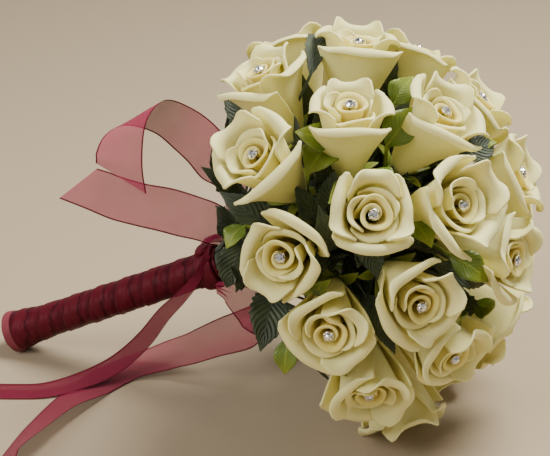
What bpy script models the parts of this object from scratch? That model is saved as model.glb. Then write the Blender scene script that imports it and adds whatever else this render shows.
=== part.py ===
"""A round posy of foam roses, lying on its side on a table.

Lengths are in metres and angles in degrees. Most pieces are worked out in the posy's own frame:
its axis is +Z, from the handle to the top of the head, and the middle of the head is its origin.
One empty then lays the posy down. The ribbon tails, which hang and trail, are worked out in the
table's frame. There +Z is up, the head points to +X, and the origin is under the middle of it all.
"""
import math

import bpy
import numpy as np
from mathutils import Matrix, Vector

MM = 0.001

# How the posy lies: the head's rim and the handle's end both rest on the table.
TILT = 25.8
HEAD_HEIGHT = 0.1109
HEAD_X = 0.0590
HEAD_Y = 0.0246

# The roses
ROSE_FOOT_REACH = 0.060
PETAL_THICKNESS = 1.2 * MM
CELL_MARGIN = 1.0 * MM
CELL_SOFTNESS = 3.0 * MM
COLLAR_POLAR = 104.0

# The wire stems, the handle and the binding under the head
STEM_RADIUS = 1.9 * MM
CALYX_RADIUS = 7.0 * MM
CALYX_LENGTH = 11.0 * MM
STALK_HALF_WIDTH = 1.1 * MM
BINDING = 0.075
BUNDLE_RADIUS = 8.4 * MM
BUNDLE_TOP = ((1.0, 7.0 * MM), (0.8, 15.0 * MM), (0.0, 17.0 * MM))
BOUND_RADIUS = 5.4 * MM
BOUND_RISE = 3.0 * MM
WRAP_INNER_RADIUS = 8.8 * MM
WRAP_RADIUS = 10.2 * MM
WRAP_END_RADIUS = 13.2 * MM
WRAP_RIM_RADIUS = 12.0 * MM
WRAP_TOP = BINDING + 3.0 * MM
WRAP_STEP = 0.7 * MM
STEP_RISE = 0.4 * MM
RING_SPACE = 0.12 * MM
WRAP_TURNS = 8
WRAP_SIDES = 12
HANDLE_END = 0.233
END_WALL = 1.4 * MM
FLARE_LENGTH = 0.030

# The leaves and the ribbon
LEAF_THICKNESS = 0.8 * MM
LEAF_TEETH = 3
RIBBON_WIDTH = 0.025
RIBBON_THICKNESS = 0.8 * MM
GATHER_LENGTH = 0.035
GATHER_SHARE = 0.3
SLANT = 8.0 * MM
FOLDED_WIDTH = 8.0 * MM
KNOT_TOP = BINDING + 4.5 * MM
KNOT_END = BINDING + 15.5 * MM
KNOT_LUMP = ((0, -6.5), (3.2, -5.5), (4.4, 0), (3.2, 5.5), (0, 6.5))
KNOT_LIFT = 4.8 * MM
GAP = 0.3 * MM

# Each rose's place on the head: polar angle from the axis, turn round the axis (0 is the top of
# the head as it lies, 90 the near side, 180 the bottom) and size.
ROSES = (
    (86, 15, 1.00), (58, 35, 1.00), (86, 47, 1.06), (85, 77, 0.96), (57, 74, 1.02),
    (82, 103, 0.98), (56, 110, 1.02), (31, 84, 1.06), (30, 27, 1.04), (60, 142, 1.00),
    (85, 132, 0.98), (6, -126, 1.02), (60, -2, 1.00), (27, 150, 1.00), (24, -33, 0.98),
    (84, -14, 0.98), (50, -32, 0.98), (89, 163, 1.18), (55, -179, 1.04), (50, -128, 1.08),
    (49, -80, 1.08), (89, -161, 1.13), (83, -123, 1.06), (83, -84, 1.06), (83, -48, 1.04),
)

# Petals of one rose: foot radius and height, length along the petal, lean at the foot, roll of
# the lip and half of the angle that it spans, all in millimetres and degrees. One side edge of
# each lies over the next petal and the other under it.
OUTER_COUNT = 5
MIDDLE_COUNT = 3
OUTER_PETAL = (8.0, 0.0, 54.0, 26.0, 104.0, 31.0)
MIDDLE_PETAL = (11.2, 18.0, 34.0, 4.0, 76.0, 54.0)
PETAL_TUCK = 1.3
ROLL_START = 0.55

# A rose's solid is turned in rings of as many columns as the petals need.
RING_COLUMNS = 15
FOOT_RADIUS = 8.0
FOOT_HEIGHT = 3.0
SHOULDER = 0.66
LIP_BEND = 0.87
OUTER_VALLEY = (13.2, 29.0)
BUD_RADII = (7.6, 9.6)
BUD_HEIGHT = 50.0
BUD_FLOOR = 36.0
PIN_HOLE_RADIUS = 1.5
PIN_HOLE_SIDES = 5
PIN_HOLE_FLOOR = 25.0
PIN_PROFILE = ((0, 25.5), (0.8, 25.5), (0.8, 46.0), (3.0, 47.8), (1.8, 49.4), (0, 49.4))

# Bright leaves that grow from a rose's foot: rose number, where the tip reaches (polar, turn and
# distance from the head's middle in millimetres) and width.
BRIGHT_LEAVES = (
    (2, 72, 32, 96, 12), (5, 45, 56, 97, 13), (6, 71, 90, 96, 12), (8, 43, 94, 97, 12),
    (9, 44, 12, 97, 13), (14, 38, 122, 97, 13), (12, 14, 55, 97, 13), (10, 46, 132, 97, 12),
    (19, 44, 163, 97, 13), (20, 35, -163, 97, 14), (20, 30, -103, 97, 14), (15, 41, -56, 97, 14),
    (21, 68, -103, 96, 14), (19, 76, -179, 96, 13), (17, 69, -31, 96, 13),
)

# Dark leaves: tip polar, turn and distance, foot polar and distance, width, all from the middle
COLLAR_LEAVES = tuple(
    (107 if k % 2 else 110, 3 + k * 360 / 14, 110 if k % 2 else 104, 128, 54, 28)
    for k in range(14)
)
GAP_LEAVES = (
    (73, 0, 97, 79, 70, 13), (72, 61, 96, 79, 70, 12), (72, 118, 97, 79, 70, 13),
    (75, 147, 97, 80, 70, 12), (70, -142, 98, 78, 70, 15), (69, -66, 98, 78, 70, 15),
)
SPRAY_COUNT = 3
SPRAY_GAP = 4.0

# Middle lines of the ribbon tails, in the table's frame but measured from under the head's middle,
# in millimetres: x, y, z, then how far the ribbon is turned on its edge (0 flat, 90 upright).
ARCH_ROUTE = (
    (-81.3, 4.8, 90.2, 60), (-79, 12, 103, 75), (-83, 20, 123, 76), (-96, 27, 142, 70),
    (-111, 27, 150, 62), (-124, 24, 152, 40), (-134, 20, 146, 10), (-139, 17, 133, -15),
    (-138, 15, 115, -20),
)
LEVEL_ROUTE = (
    (-86.2, 4.7, 87.6, 60), (-95, 13, 92, 80), (-107, 18, 98, 85), (-127, 21, 99, 80),
    (-150, 24, 101, 75), (-170, 27, 105, 70),
)
NARROW_ROUTE = (
    (-86.5, -8.9, 87.5, 60), (-89, -15, 80, 80), (-93, -17, 66, 85), (-101, -17, 47, 80),
    (-112, -18, 31, 70), (-125, -19, 16, 45), (-138, -21, 5, 10), (-151, -26, 2.9, 0),
    (-166, -38, 1.6, 0), (-182, -50, 0.4, 0), (-200, -60, 0, 0), (-226, -68, 0, 0),
)
WIDE_ROUTE = (
    (-80.3, -13.0, 88, 60), (-77, -19, 79, 75), (-71, -18, 66, 78), (-66, -12, 50, 68),
    (-70, -4, 34, 52), (-86, 2, 18, 30), (-108, 3, 6, 12), (-129, -8, 0, 0),
    (-140, -28, 0, 0), (-145, -42, 0, 0), (-149, -62, 4, 24), (-153, -86, 10, 52),
    (-155, -110, 12, 75), (-155, -132, 12, 80), (-154, -154, 12, 80),
)

IVORY = (0.80, 0.74, 0.52, 1)
CRYSTAL = (0.82, 0.84, 0.88, 1)
STEM_GREEN = (0.16, 0.26, 0.03, 1)
LEAF_GREEN = (0.02, 0.05, 0.02, 1)
BURGUNDY = (0.13, 0.008, 0.03, 1)
SHEER_BURGUNDY = (0.30, 0.05, 0.09, 1)


def clear_scene():
    for thing in list(bpy.data.objects):
        bpy.data.objects.remove(thing, do_unlink=True)


def material(name, colour, roughness, metallic=0.0):
    finish = bpy.data.materials.new(name)
    finish.use_nodes = True
    shader = finish.node_tree.nodes["Principled BSDF"]
    shader.inputs["Base Color"].default_value = colour
    shader.inputs["Roughness"].default_value = roughness
    shader.inputs["Metallic"].default_value = metallic
    finish.diffuse_color = colour
    return finish


def mesh_object(name, shape, finish=None):
    """Make an object from a pair of point and face lists."""
    points, faces = shape
    mesh = bpy.data.meshes.new(name)
    mesh.from_pydata([tuple(p) for p in points], [], [tuple(f) for f in faces])
    if finish:
        mesh.materials.append(finish)
    thing = bpy.data.objects.new(name, mesh)
    bpy.context.scene.collection.objects.link(thing)
    return thing


def evaluated_mesh(thing):
    bpy.context.view_layer.update()
    graph = bpy.context.evaluated_depsgraph_get()
    return bpy.data.meshes.new_from_object(thing.evaluated_get(graph))


def fuse(name, shapes, finish):
    """Join closed shapes into one solid with a single Boolean union."""
    body = mesh_object(name, shapes[0], finish)
    if len(shapes) > 1:
        group = bpy.data.collections.new(name + "_shapes")
        bpy.context.scene.collection.children.link(group)
        for index, shape in enumerate(shapes[1:]):
            extra = mesh_object(f"{name}_shape_{index}", shape)
            bpy.context.scene.collection.objects.unlink(extra)
            group.objects.link(extra)
        union = body.modifiers.new("Fuse", "BOOLEAN")
        union.operation = "UNION"
        union.solver = "EXACT"
        union.operand_type = "COLLECTION"
        union.collection = group
        joined = evaluated_mesh(body)
        body.modifiers.clear()
        body.data = joined
        for extra in list(group.objects):
            bpy.data.objects.remove(extra, do_unlink=True)
        bpy.data.collections.remove(group)
    body.data.shade_smooth()
    body.data.set_sharp_from_angle(angle=math.radians(40))
    return body


def unit(vector):
    vector = np.asarray(vector, float)
    return vector / np.linalg.norm(vector, axis=-1, keepdims=True)


def on_head(polar, turn, reach=1.0):
    """A point in the posy's frame, from its polar angle, its turn and its distance."""
    p, t = math.radians(polar), math.radians(turn)
    return reach * np.array([math.sin(p) * math.cos(t), math.sin(p) * math.sin(t), math.cos(p)])


def slab(grid, thickness):
    """Give a grid of points a thickness, split into the same triangles on both faces."""
    rows, columns = grid.shape[:2]
    along = np.gradient(grid, axis=0)
    across = np.gradient(grid, axis=1)
    normal = unit(np.cross(across, along))
    points = np.concatenate([(grid + normal * thickness / 2).reshape(-1, 3),
                             (grid - normal * thickness / 2).reshape(-1, 3)])
    half = rows * columns
    faces = []
    for r in range(rows - 1):
        for c in range(columns - 1):
            a, b = r * columns + c, r * columns + c + 1
            d, e = a + columns, b + columns
            triangles = ((a, b, e), (a, e, d)) if c < columns // 2 else ((a, b, d), (b, e, d))
            faces += triangles
            faces += [(x + half, z + half, y + half) for x, y, z in triangles]
    rim = ([c for c in range(columns)] + [r * columns + columns - 1 for r in range(1, rows)]
           + [(rows - 1) * columns + c for c in range(columns - 2, -1, -1)]
           + [r * columns for r in range(rows - 2, 0, -1)])
    for a, b in zip(rim, rim[1:] + rim[:1]):
        faces += [(b, a, a + half), (b, a + half, b + half)]
    return points, faces


def lathe(profile, sides, place=Matrix.Identity(4), turn=0.0):
    """Turn a profile of radius and height, from the bottom of the axis, outside, to its top."""
    points, rings = [], []
    for radius, height in profile:
        count = sides if radius > 0 else 1
        rings.append(range(len(points), len(points) + count))
        for k in range(count):
            angle = 2 * math.pi * k / sides + turn
            spot = Vector((radius * math.cos(angle), radius * math.sin(angle), height))
            points.append(place @ spot)
    faces = []
    for low, high in zip(rings, rings[1:]):
        for k in range(sides):
            n = (k + 1) % sides
            if len(low) == 1:
                faces.append((low[0], high[n], high[k]))
            elif len(high) == 1:
                faces.append((low[k], low[n], high[0]))
            else:
                faces.append((low[k], low[n], high[n]))
                faces.append((low[k], high[n], high[k]))
    return points, faces


def petal_grid(foot_radius, foot_height, length, lean, roll, half_angle, across, rows):
    """One petal about its rose's axis, in millimetres.

    Its middle line leaves the foot at the lean, straightens as it rises and rolls out at the lip,
    so its angle from the axis is lean (1 - s) + roll w^2, where w grows from 0 at ROLL_START to 1
    at the lip. The petal bends round the axis on a radius that opens from 1 to 1.35 times its own,
    its upper corners are cut back, and its side edges turn out. It is tucked: it lies further out
    by PETAL_TUCK at one side edge, and further in by as much at the other.
    """
    fine = np.linspace(0, 1, 81)
    rolled = np.clip((fine - ROLL_START) / (1 - ROLL_START), 0, 1) ** 2
    angle = np.radians(lean * (1 - fine) + roll * rolled)
    step = length / 80
    radius_line = foot_radius + np.concatenate([[0], np.cumsum(np.sin(angle[:-1]) * step)])
    height_line = foot_height + np.concatenate([[0], np.cumsum(np.cos(angle[:-1]) * step)])
    u, s = np.meshgrid(across, rows)
    s = s * (1 - 0.15 * np.abs(u) ** 2.5)
    radius = np.interp(s, fine, radius_line)
    height = np.interp(s, fine, height_line)
    bend = radius * (1 + 0.35 * s ** 2)
    turn = u * math.radians(half_angle) * (1 - 0.10 * s) * radius / bend
    out = radius - bend * (1 - np.cos(turn)) + 2.0 * np.abs(u) ** 3 * s ** 3 + PETAL_TUCK * u
    side = bend * np.sin(turn)
    return np.stack([out, side, height], axis=-1) * MM


def turned(grid, degrees):
    angle = math.radians(degrees)
    x, y, z = np.moveaxis(grid, -1, 0)
    return np.stack([x * math.cos(angle) - y * math.sin(angle),
                     x * math.sin(angle) + y * math.cos(angle), z], axis=-1)


def rose_frame(index):
    """Axes of a rose in the posy's frame: out along its own axis, and up the dome."""
    polar, turn, _ = ROSES[index]
    out = on_head(polar, turn)
    up = unit(on_head(polar - 90, turn))
    side = np.cross(out, up)
    return np.array([up, side, out])


def rose_spin(index):
    """Each rose is turned about its own axis by the golden angle, so that no two look alike."""
    return index * 137.5


def neighbours(index):
    """Directions whose half-way planes bound this rose's cell on the head."""
    polar, turn, _ = ROSES[index]
    mine = on_head(polar, turn)
    others = [on_head(p, t) for k, (p, t, _) in enumerate(ROSES) if k != index]
    others.append(on_head(2 * COLLAR_POLAR - polar, turn))
    return mine, [d for d in others if d @ mine > 0.3]


def press_into_cell(points, index):
    """Press petals that reach a neighbour back to their own side, as crowded petals are.

    Inside the soft depth d the distance s to the half-way plane becomes m + k e^((s - d) / k).
    """
    mine, others = neighbours(index)
    depth = CELL_MARGIN + CELL_SOFTNESS
    for _ in range(2):
        for other in others:
            normal = unit(other - mine)
            inside = -(points @ normal)
            pressed = CELL_MARGIN + CELL_SOFTNESS * np.exp((inside - depth) / CELL_SOFTNESS)
            shift = np.where(inside < depth, pressed - inside, 0.0)
            points = points - shift[..., None] * normal
    return points


def in_posy(local, index, size=1.0):
    return local * size @ rose_frame(index) + rose_frame(index)[2] * ROSE_FOOT_REACH


def petal_ring(petal, count, first, size, row):
    """One height of a ring of petals: its points on the outer and on the inner face.

    The columns of each petal stand at even steps of u, and between two petals is a narrow step.
    """
    foot_radius, foot_height, length, lean, roll, half_angle = petal
    columns = RING_COLUMNS // count
    across = np.linspace(-1, 1, columns)
    rows = np.array([row - 0.02, row])
    outer, inner = [], []
    for k in range(count):
        grid = petal_grid(foot_radius, foot_height, length * size, lean, roll, half_angle,
                          across, rows)
        normal = unit(np.cross(np.gradient(grid, axis=1), np.gradient(grid, axis=0)))
        for face, sign in ((outer, 1), (inner, -1)):
            faced = grid[1] + sign * normal[1] * PETAL_THICKNESS / 2
            face.append(turned(faced, first + k * 360 / count))
    return np.concatenate(outer), np.concatenate(inner)


def plain_ring(radius, height, first, columns=RING_COLUMNS, step=0.0):
    """A round ring, or with a step, one that winds outwards to a step where its ends meet."""
    share = np.arange(columns) / max(columns - 1, 1)
    angle = np.radians(first + share * (360 - 360 / columns * (0.5 if step else 1.0)))
    radius = radius + step * share
    height = np.full(columns, float(height))
    return np.stack([radius * np.cos(angle), radius * np.sin(angle), height], axis=-1) * MM


def bridge(low, high, inner=False):
    """Triangles between two rings of points, whose counts are equal or in a whole ratio.

    The inner face of a wall is split the other way, so that both its faces have like triangles.
    """
    ratio_low, ratio_high = max(len(high) // len(low), 1), max(len(low) // len(high), 1)
    count = max(len(low), len(high))
    faces = []
    for k in range(count):
        n = (k + 1) % count
        a, b = low[k // ratio_low], low[n // ratio_low]
        c, d = high[k // ratio_high], high[n // ratio_high]
        if inner:
            faces += [(a, b, c), (b, d, c)]
            continue
        if a != b:
            faces.append((a, b, d))
        if c != d:
            faces.append((a, d, c))
    return faces


def make_rose(index, finish):
    """A rose as one turned surface, from its foot up the outer petals and in to the pin's hole.

    Each ring of petals is a wall with an outer and an inner face that meet along its lobed lip.
    """
    size = ROSES[index][2]
    spin = rose_spin(index)
    outer = {row: petal_ring(OUTER_PETAL, OUTER_COUNT, 0, size, row)
             for row in (SHOULDER, LIP_BEND, 1.0)}
    middle = {row: petal_ring(MIDDLE_PETAL, MIDDLE_COUNT, 22, size, row)
              for row in (SHOULDER, 1.0)}
    low, step = BUD_RADII[0], BUD_RADII[1] - BUD_RADII[0]
    rings = [
        plain_ring(0, 0, 0, 1), plain_ring(FOOT_RADIUS, 0, -31),
        outer[SHOULDER][0], outer[LIP_BEND][0], outer[1.0][0],
        outer[1.0][1], outer[LIP_BEND][1], outer[SHOULDER][1],
        plain_ring(*OUTER_VALLEY, -31),
        middle[SHOULDER][0], middle[1.0][0], middle[1.0][1], middle[SHOULDER][1],
        plain_ring(low + 0.7, BUD_HEIGHT - 0.6, -31, step=step),
        plain_ring(low - 0.7, BUD_HEIGHT, -31, step=step),
        plain_ring(PIN_HOLE_RADIUS, BUD_FLOOR, -31, PIN_HOLE_SIDES),
        plain_ring(PIN_HOLE_RADIUS, PIN_HOLE_FLOOR, -31, PIN_HOLE_SIDES),
        plain_ring(0, PIN_HOLE_FLOOR, 0, 1),
    ]
    walls = ((2, 7), (3, 6), (4, 5), (9, 12), (10, 11))
    inner_faces = (5, 6, 11)
    placed = [in_posy(turned(ring, spin), index) for ring in rings]
    for outside, inside in walls:
        shift = press_into_cell(placed[outside], index) - placed[outside]
        placed[outside] = placed[outside] + shift
        placed[inside] = placed[inside] + shift
    starts = np.concatenate([[0], np.cumsum([len(ring) for ring in placed])])
    names = [list(range(a, b)) for a, b in zip(starts, starts[1:])]
    faces = [face for k in range(len(names) - 1)
             for face in bridge(names[k], names[k + 1], k in inner_faces)]
    return fuse(f"rose_{index + 1:02d}", [(np.concatenate(placed), faces)], finish)


def make_pin(index, finish):
    points, faces = lathe([(r * MM, z * MM) for r, z in PIN_PROFILE], 5)
    return fuse(f"pin_{index + 1:02d}", [(in_posy(np.array(points), index), faces)], finish)


def smooth_line(points, count):
    """Points spaced evenly along a smooth curve through the given ones."""
    points = np.asarray(points, float)
    padded = np.vstack([2 * points[0] - points[1], points, 2 * points[-1] - points[-2]])
    curve = []
    for k in range(len(points) - 1):
        a, b, c, d = padded[k:k + 4]
        for t in np.linspace(0, 1, 24, endpoint=False):
            curve.append(0.5 * (2 * b + (c - a) * t + (2 * a - 5 * b + 4 * c - d) * t ** 2
                                + (3 * b - a - 3 * c + d) * t ** 3))
    curve.append(points[-1])
    curve = np.array(curve)
    gone = np.concatenate([[0], np.cumsum(np.linalg.norm(np.diff(curve[:, :3], axis=0), axis=1))])
    wanted = np.linspace(0, gone[-1], count)
    return np.stack([np.interp(wanted, gone, column) for column in curve.T], axis=-1)


def leaf_slab(stalk, tip, face, width, teeth, arch=0.14):
    """A leaf from the first point of its stalk to its tip, with a toothed or a smooth edge.

    The blade starts at the stalk's last point. Its rib is an arc that stands arch times the length
    proud towards face. Half of its width is width/2 sin(pi t^0.8) along the length t, each tooth
    steps in by a fifth of that, and the blade folds up a little at both sides of the rib.
    """
    foot, tip = np.asarray(stalk[-1]), np.asarray(tip)
    length = np.linalg.norm(tip - foot)
    forward = (tip - foot) / length
    side = unit(np.cross(forward, face))
    face = np.cross(side, forward)
    steps = 2 * teeth if teeth else 3
    t = np.linspace(0, 1, steps + 1)
    half = width / 2 * np.sin(np.pi * np.clip(t, 0.03, 0.96) ** 0.8)
    cut = np.where(np.arange(steps + 1) % 2 == 0, 0.80, 1.0) if teeth else 1.0
    half = np.maximum(half * cut, STALK_HALF_WIDTH)[:, None]
    rib = foot + np.outer(t * length, forward) + np.outer(arch * length * np.sin(np.pi * t), face)
    fold = 0.22 * half * face
    blade = np.stack([rib - half * side + fold, rib, rib + half * side + fold], axis=1)
    rows = [np.stack([point - STALK_HALF_WIDTH * side, point, point + STALK_HALF_WIDTH * side])
            for point in stalk[:-1]]
    return slab(np.concatenate([np.array(rows).reshape(-1, 3, 3), blade]), LEAF_THICKNESS)


def bent_stem(points, radii, sides=5):
    """A closed rod along a few points, each with its own radius and square to the way there."""
    points = np.asarray(points)
    ahead = unit(np.gradient(points, axis=0))
    verts, rings = [points[0]], [[0]]
    for point, way, radius in zip(points, ahead, radii):
        level = unit(np.cross(way, (0.31, 0.17, 0.02)))
        other = np.cross(way, level)
        rings.append(list(range(len(verts), len(verts) + sides)))
        for k in range(sides):
            angle = 2 * math.pi * k / sides
            verts.append(point + radius * (math.cos(angle) * level + math.sin(angle) * other))
    rings.append([len(verts)])
    verts.append(points[-1])
    faces = [face for low, high in zip(rings, rings[1:]) for face in bridge(low, high)]
    return verts, faces


def make_stems(finish):
    """The wire stems, their calyxes and their bright leaves, bound into one bundle."""
    low = -(HANDLE_END - END_WALL - 2 * GAP)
    profile = [(0, low), (BUNDLE_RADIUS, low)]
    profile += [(share * BUNDLE_RADIUS, rise - BINDING) for share, rise in BUNDLE_TOP]
    shapes = [lathe(profile, 10)]
    for index, (polar, turn, _) in enumerate(ROSES):
        out = rose_frame(index)[2]
        bound = on_head(90, turn, BOUND_RADIUS * polar / 90) - np.array([0, 0, BINDING - BOUND_RISE])
        neck, rim = ROSE_FOOT_REACH - CALYX_LENGTH, ROSE_FOOT_REACH - GAP
        shapes.append(bent_stem((bound, out * neck, out * rim),
                                (STEM_RADIUS, STEM_RADIUS, CALYX_RADIUS)))
    for number, polar, turn, reach, width in BRIGHT_LEAVES:
        out = rose_frame(number - 1)[2]
        tip = on_head(polar, turn, reach * MM)
        away = unit(tip - out * (out @ tip))
        start = out * (ROSE_FOOT_REACH - 6 * MM)
        foot = out * (ROSE_FOOT_REACH - 1.5 * MM) + away * 11.0 * MM
        shapes.append(leaf_slab((start, foot), tip, away, width * MM, 0))
    return fuse("stems", shapes, finish)


def spray_root(first, last):
    """A band round the bundle, between two turns, that a spray's stalks grow from."""
    inner, outer = BUNDLE_RADIUS + GAP, BUNDLE_RADIUS + 2.6 * MM
    low, high = -BINDING - 1.5 * MM, -BINDING + 3.0 * MM
    angles = np.radians(np.linspace(first, last, 7))
    points = []
    for radius, height in ((inner, low), (outer, low), (outer, high), (inner, high)):
        points += [(radius * math.cos(a), radius * math.sin(a), height) for a in angles]
    count = len(angles)
    faces = []
    for corner in range(4):
        here, there = corner * count, (corner + 1) % 4 * count
        for k in range(count - 1):
            faces += [(here + k, here + k + 1, there + k + 1), (here + k, there + k + 1, there + k)]
    ends = [corner * count for corner in range(4)]
    faces += [(ends[0], ends[1], ends[2]), (ends[0], ends[2], ends[3])]
    ends = [corner + count - 1 for corner in ends]
    faces += [(ends[2], ends[1], ends[0]), (ends[3], ends[2], ends[0])]
    faces = [(a, c, b) for a, b, c in faces]
    return points, faces


def make_spray(number, finish):
    """A third of the dark leaves, on stalks from one root at the binding."""
    span = 360 / SPRAY_COUNT
    start = -90 + number * span
    first, last = start + SPRAY_GAP / 2 + 3, start + span - SPRAY_GAP / 2 - 3
    shapes = [spray_root(first, last)]
    for leaves in (COLLAR_LEAVES, GAP_LEAVES):
        for tip_polar, turn, tip_reach, foot_polar, foot_reach, width in leaves:
            if (turn - start) % 360 >= span:
                continue
            foot = on_head(foot_polar, turn, foot_reach * MM)
            tip = on_head(tip_polar, turn, tip_reach * MM)
            face = on_head(foot_polar + 60, turn)
            if leaves is GAP_LEAVES:
                face = on_head(foot_polar - 10, turn + 80)
            root_turn = start + np.clip((turn - start) % 360, 8, span - 8)
            root = on_head(90, root_turn, BUNDLE_RADIUS + 1.5 * MM)
            root = root - np.array([0, 0, BINDING - 0.0015])
            stalk = [root, foot]
            if leaves is GAP_LEAVES:
                stalk.insert(1, on_head(90, turn, 0.020) - np.array([0, 0, 0.056]))
            shapes.append(leaf_slab(stalk, tip, face, width * MM, LEAF_TEETH))
    return fuse(f"leaf_spray_{number + 1}", shapes, finish)


def wrap_radius(depth):
    """Outer radius of the wound ribbon at a depth below the head's middle: it flares at the end."""
    flare = np.maximum(0.0, (depth - (HANDLE_END - FLARE_LENGTH)) / FLARE_LENGTH)
    return WRAP_RADIUS + (WRAP_END_RADIUS - WRAP_RADIUS) * flare ** 1.5


def make_wrap(finish):
    """The ribbon wound round the handle: a sleeve, closed below, whose turns overlap in steps.

    Each ring of the sleeve slants by one pitch in a turn, so the steps run round in a spiral.
    """
    pitch = (HANDLE_END - WRAP_TOP) / WRAP_TURNS
    count = 2 * WRAP_TURNS + 2
    share = np.arange(WRAP_SIDES) / WRAP_SIDES
    rings = []
    for ring in range(count):
        raised = ring % 2 == 0
        depth = WRAP_TOP + (ring // 2 + share - 0.5) * pitch + (0.0 if raised else STEP_RISE)
        depth = np.clip(depth, WRAP_TOP + ring * RING_SPACE, HANDLE_END - (count - ring) * RING_SPACE)
        radius = wrap_radius(depth) + (WRAP_STEP / 2 if raised else -WRAP_STEP / 2)
        rings.append((radius, depth))
    rings.append((WRAP_RIM_RADIUS, HANDLE_END))
    rings.append((WRAP_INNER_RADIUS, HANDLE_END - END_WALL))
    rings.append((WRAP_INNER_RADIUS, WRAP_TOP))
    angle = 2 * math.pi * share
    points = [np.stack([radius * np.cos(angle), radius * np.sin(angle), angle * 0 - depth], axis=-1)
              for radius, depth in rings]
    names = [list(range(k * WRAP_SIDES, (k + 1) * WRAP_SIDES)) for k in range(len(rings))]
    rim, floor = names[-3], names[-2]
    faces = [tuple(reversed(rim)), tuple(floor)]
    for upper, lower in zip(names, names[1:] + names[:1]):
        if lower is not floor:
            faces += bridge(lower, upper)
    return fuse("handle_wrap", [(np.concatenate(points), faces)], finish)


def ribbon_slab(route, width, rows, slant_end):
    """A ribbon along a route in the table's frame, gathered at the knot and cut at a slant.

    The width lies across the route, level where the last value is 0 and upright where it is 90.
    No part of it reaches below the table.
    """
    line = smooth_line(route, rows)
    middle = line[:, :3] * MM
    lean = np.radians(line[:, 3])[:, None]
    along = unit(np.gradient(middle, axis=0))
    level = unit(np.cross(along, np.array([0, 0, 1.0])))
    above = np.cross(level, along)
    across = level * np.cos(lean) + above * np.sin(lean)
    gone = np.concatenate([[0], np.cumsum(np.linalg.norm(np.diff(middle, axis=0), axis=1))])
    spread = np.clip(gone / GATHER_LENGTH, 0, 1)
    opened = (GATHER_SHARE + (1 - GATHER_SHARE) * spread * (2 - spread))[:, None, None]
    t = (gone / gone[-1])[:, None, None]
    half = np.array([-0.5, 0.5])[None, :, None] * width * opened
    slant = np.array([-1, 1.0])[None, :, None] * np.clip(1 - (1 - t) * 6, 0, 1) ** 2 * slant_end
    grid = middle[:, None] + half * across[:, None] + slant * along[:, None]
    lowest = grid[:, :, 2].min(axis=1, keepdims=True)
    grid[:, :, 2] += np.maximum(RIBBON_THICKNESS / 2 - lowest, 0)
    return slab(grid, RIBBON_THICKNESS)


def make_tail(name, route, width, rows, slant_end, finish):
    return fuse(name, [ribbon_slab(route, width, rows, slant_end)], finish)


def make_knot(finish):
    """The ribbon's turns round the top of the handle, with the tied knot on its upper side."""
    inner = (WRAP_RADIUS + WRAP_STEP / 2) / math.cos(math.pi / WRAP_SIDES) + GAP
    edge, crown, middle = inner + 0.8 * MM, inner + 2.0 * MM, -(KNOT_TOP + KNOT_END) / 2
    points, faces = lathe(((inner, -KNOT_TOP), (inner, -KNOT_END), (edge, -KNOT_END),
                           (crown, middle), (edge, -KNOT_TOP), (inner, -KNOT_TOP)), WRAP_SIDES)
    count = len(points) - WRAP_SIDES
    band = (points[:count], [tuple(i % count for i in face) for face in faces])
    place = Matrix.Translation((inner + KNOT_LIFT, 0.002, middle))
    place = place @ Matrix.Rotation(math.radians(90), 4, "X")
    lump = lathe([(r * MM, z * MM) for r, z in KNOT_LUMP], 8, place)
    return fuse("ribbon_knot", [band, lump], finish)


def lay_down(things):
    """Lay the posy on the table: its axis tilts up from the handle towards the head at +X."""
    tilt = math.radians(TILT)
    axes = Matrix(((-math.sin(tilt), 0, math.cos(tilt)), (0, -1, 0),
                   (math.cos(tilt), 0, math.sin(tilt))))
    posy = bpy.data.objects.new("posy_axis", None)
    posy.location = (HEAD_X, HEAD_Y, HEAD_HEIGHT)
    posy.rotation_euler = axes.to_euler()
    bpy.context.scene.collection.objects.link(posy)
    for thing in things:
        thing.parent = posy


def set_on_table(thing, block):
    """Cut off what would reach below the table, which leaves a small flat spot to rest on."""
    bpy.context.view_layer.update()
    lowest = min((thing.matrix_world @ v.co).z for v in thing.data.vertices)
    if lowest < 0:
        cut = thing.modifiers.new("Flat spot", "BOOLEAN")
        cut.operation = "DIFFERENCE"
        cut.solver = "EXACT"
        cut.object = block
    return lowest


def main():
    clear_scene()
    ivory = material("ivory_foam", IVORY, 0.7)
    crystal = material("crystal", CRYSTAL, 0.1, 0.3)
    green = material("bright_green", STEM_GREEN, 0.5)
    dark = material("dark_leaf", LEAF_GREEN, 0.55)
    wound = material("wound_ribbon", BURGUNDY, 0.5)
    sheer = material("sheer_ribbon", SHEER_BURGUNDY, 0.5)

    roses = [make_rose(index, ivory) for index in range(len(ROSES))]
    pins = [make_pin(index, crystal) for index in range(len(ROSES))]
    stems = make_stems(green)
    sprays = [make_spray(number, dark) for number in range(SPRAY_COUNT)]
    wrap = make_wrap(wound)
    knot = make_knot(sheer)
    lay_down(roses + pins + sprays + [stems, wrap, knot])

    tails = [
        make_tail("tail_arch", ARCH_ROUTE, RIBBON_WIDTH, 17, SLANT, sheer),
        make_tail("tail_level", LEVEL_ROUTE, RIBBON_WIDTH, 9, SLANT, sheer),
        make_tail("tail_narrow", NARROW_ROUTE, FOLDED_WIDTH, 20, SLANT / 4, sheer),
        make_tail("tail_wide", WIDE_ROUTE, RIBBON_WIDTH, 22, SLANT, sheer),
    ]
    for tail in tails:
        tail.location = (HEAD_X, HEAD_Y, 0)

    block = mesh_object("table_block", lathe(((0, -0.05), (0.6, -0.05), (0.6, 0), (0, 0)), 4))
    block.display_type = "WIRE"
    block.hide_render = True
    for thing in roses + sprays + [wrap]:
        set_on_table(thing, block)


main()
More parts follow.
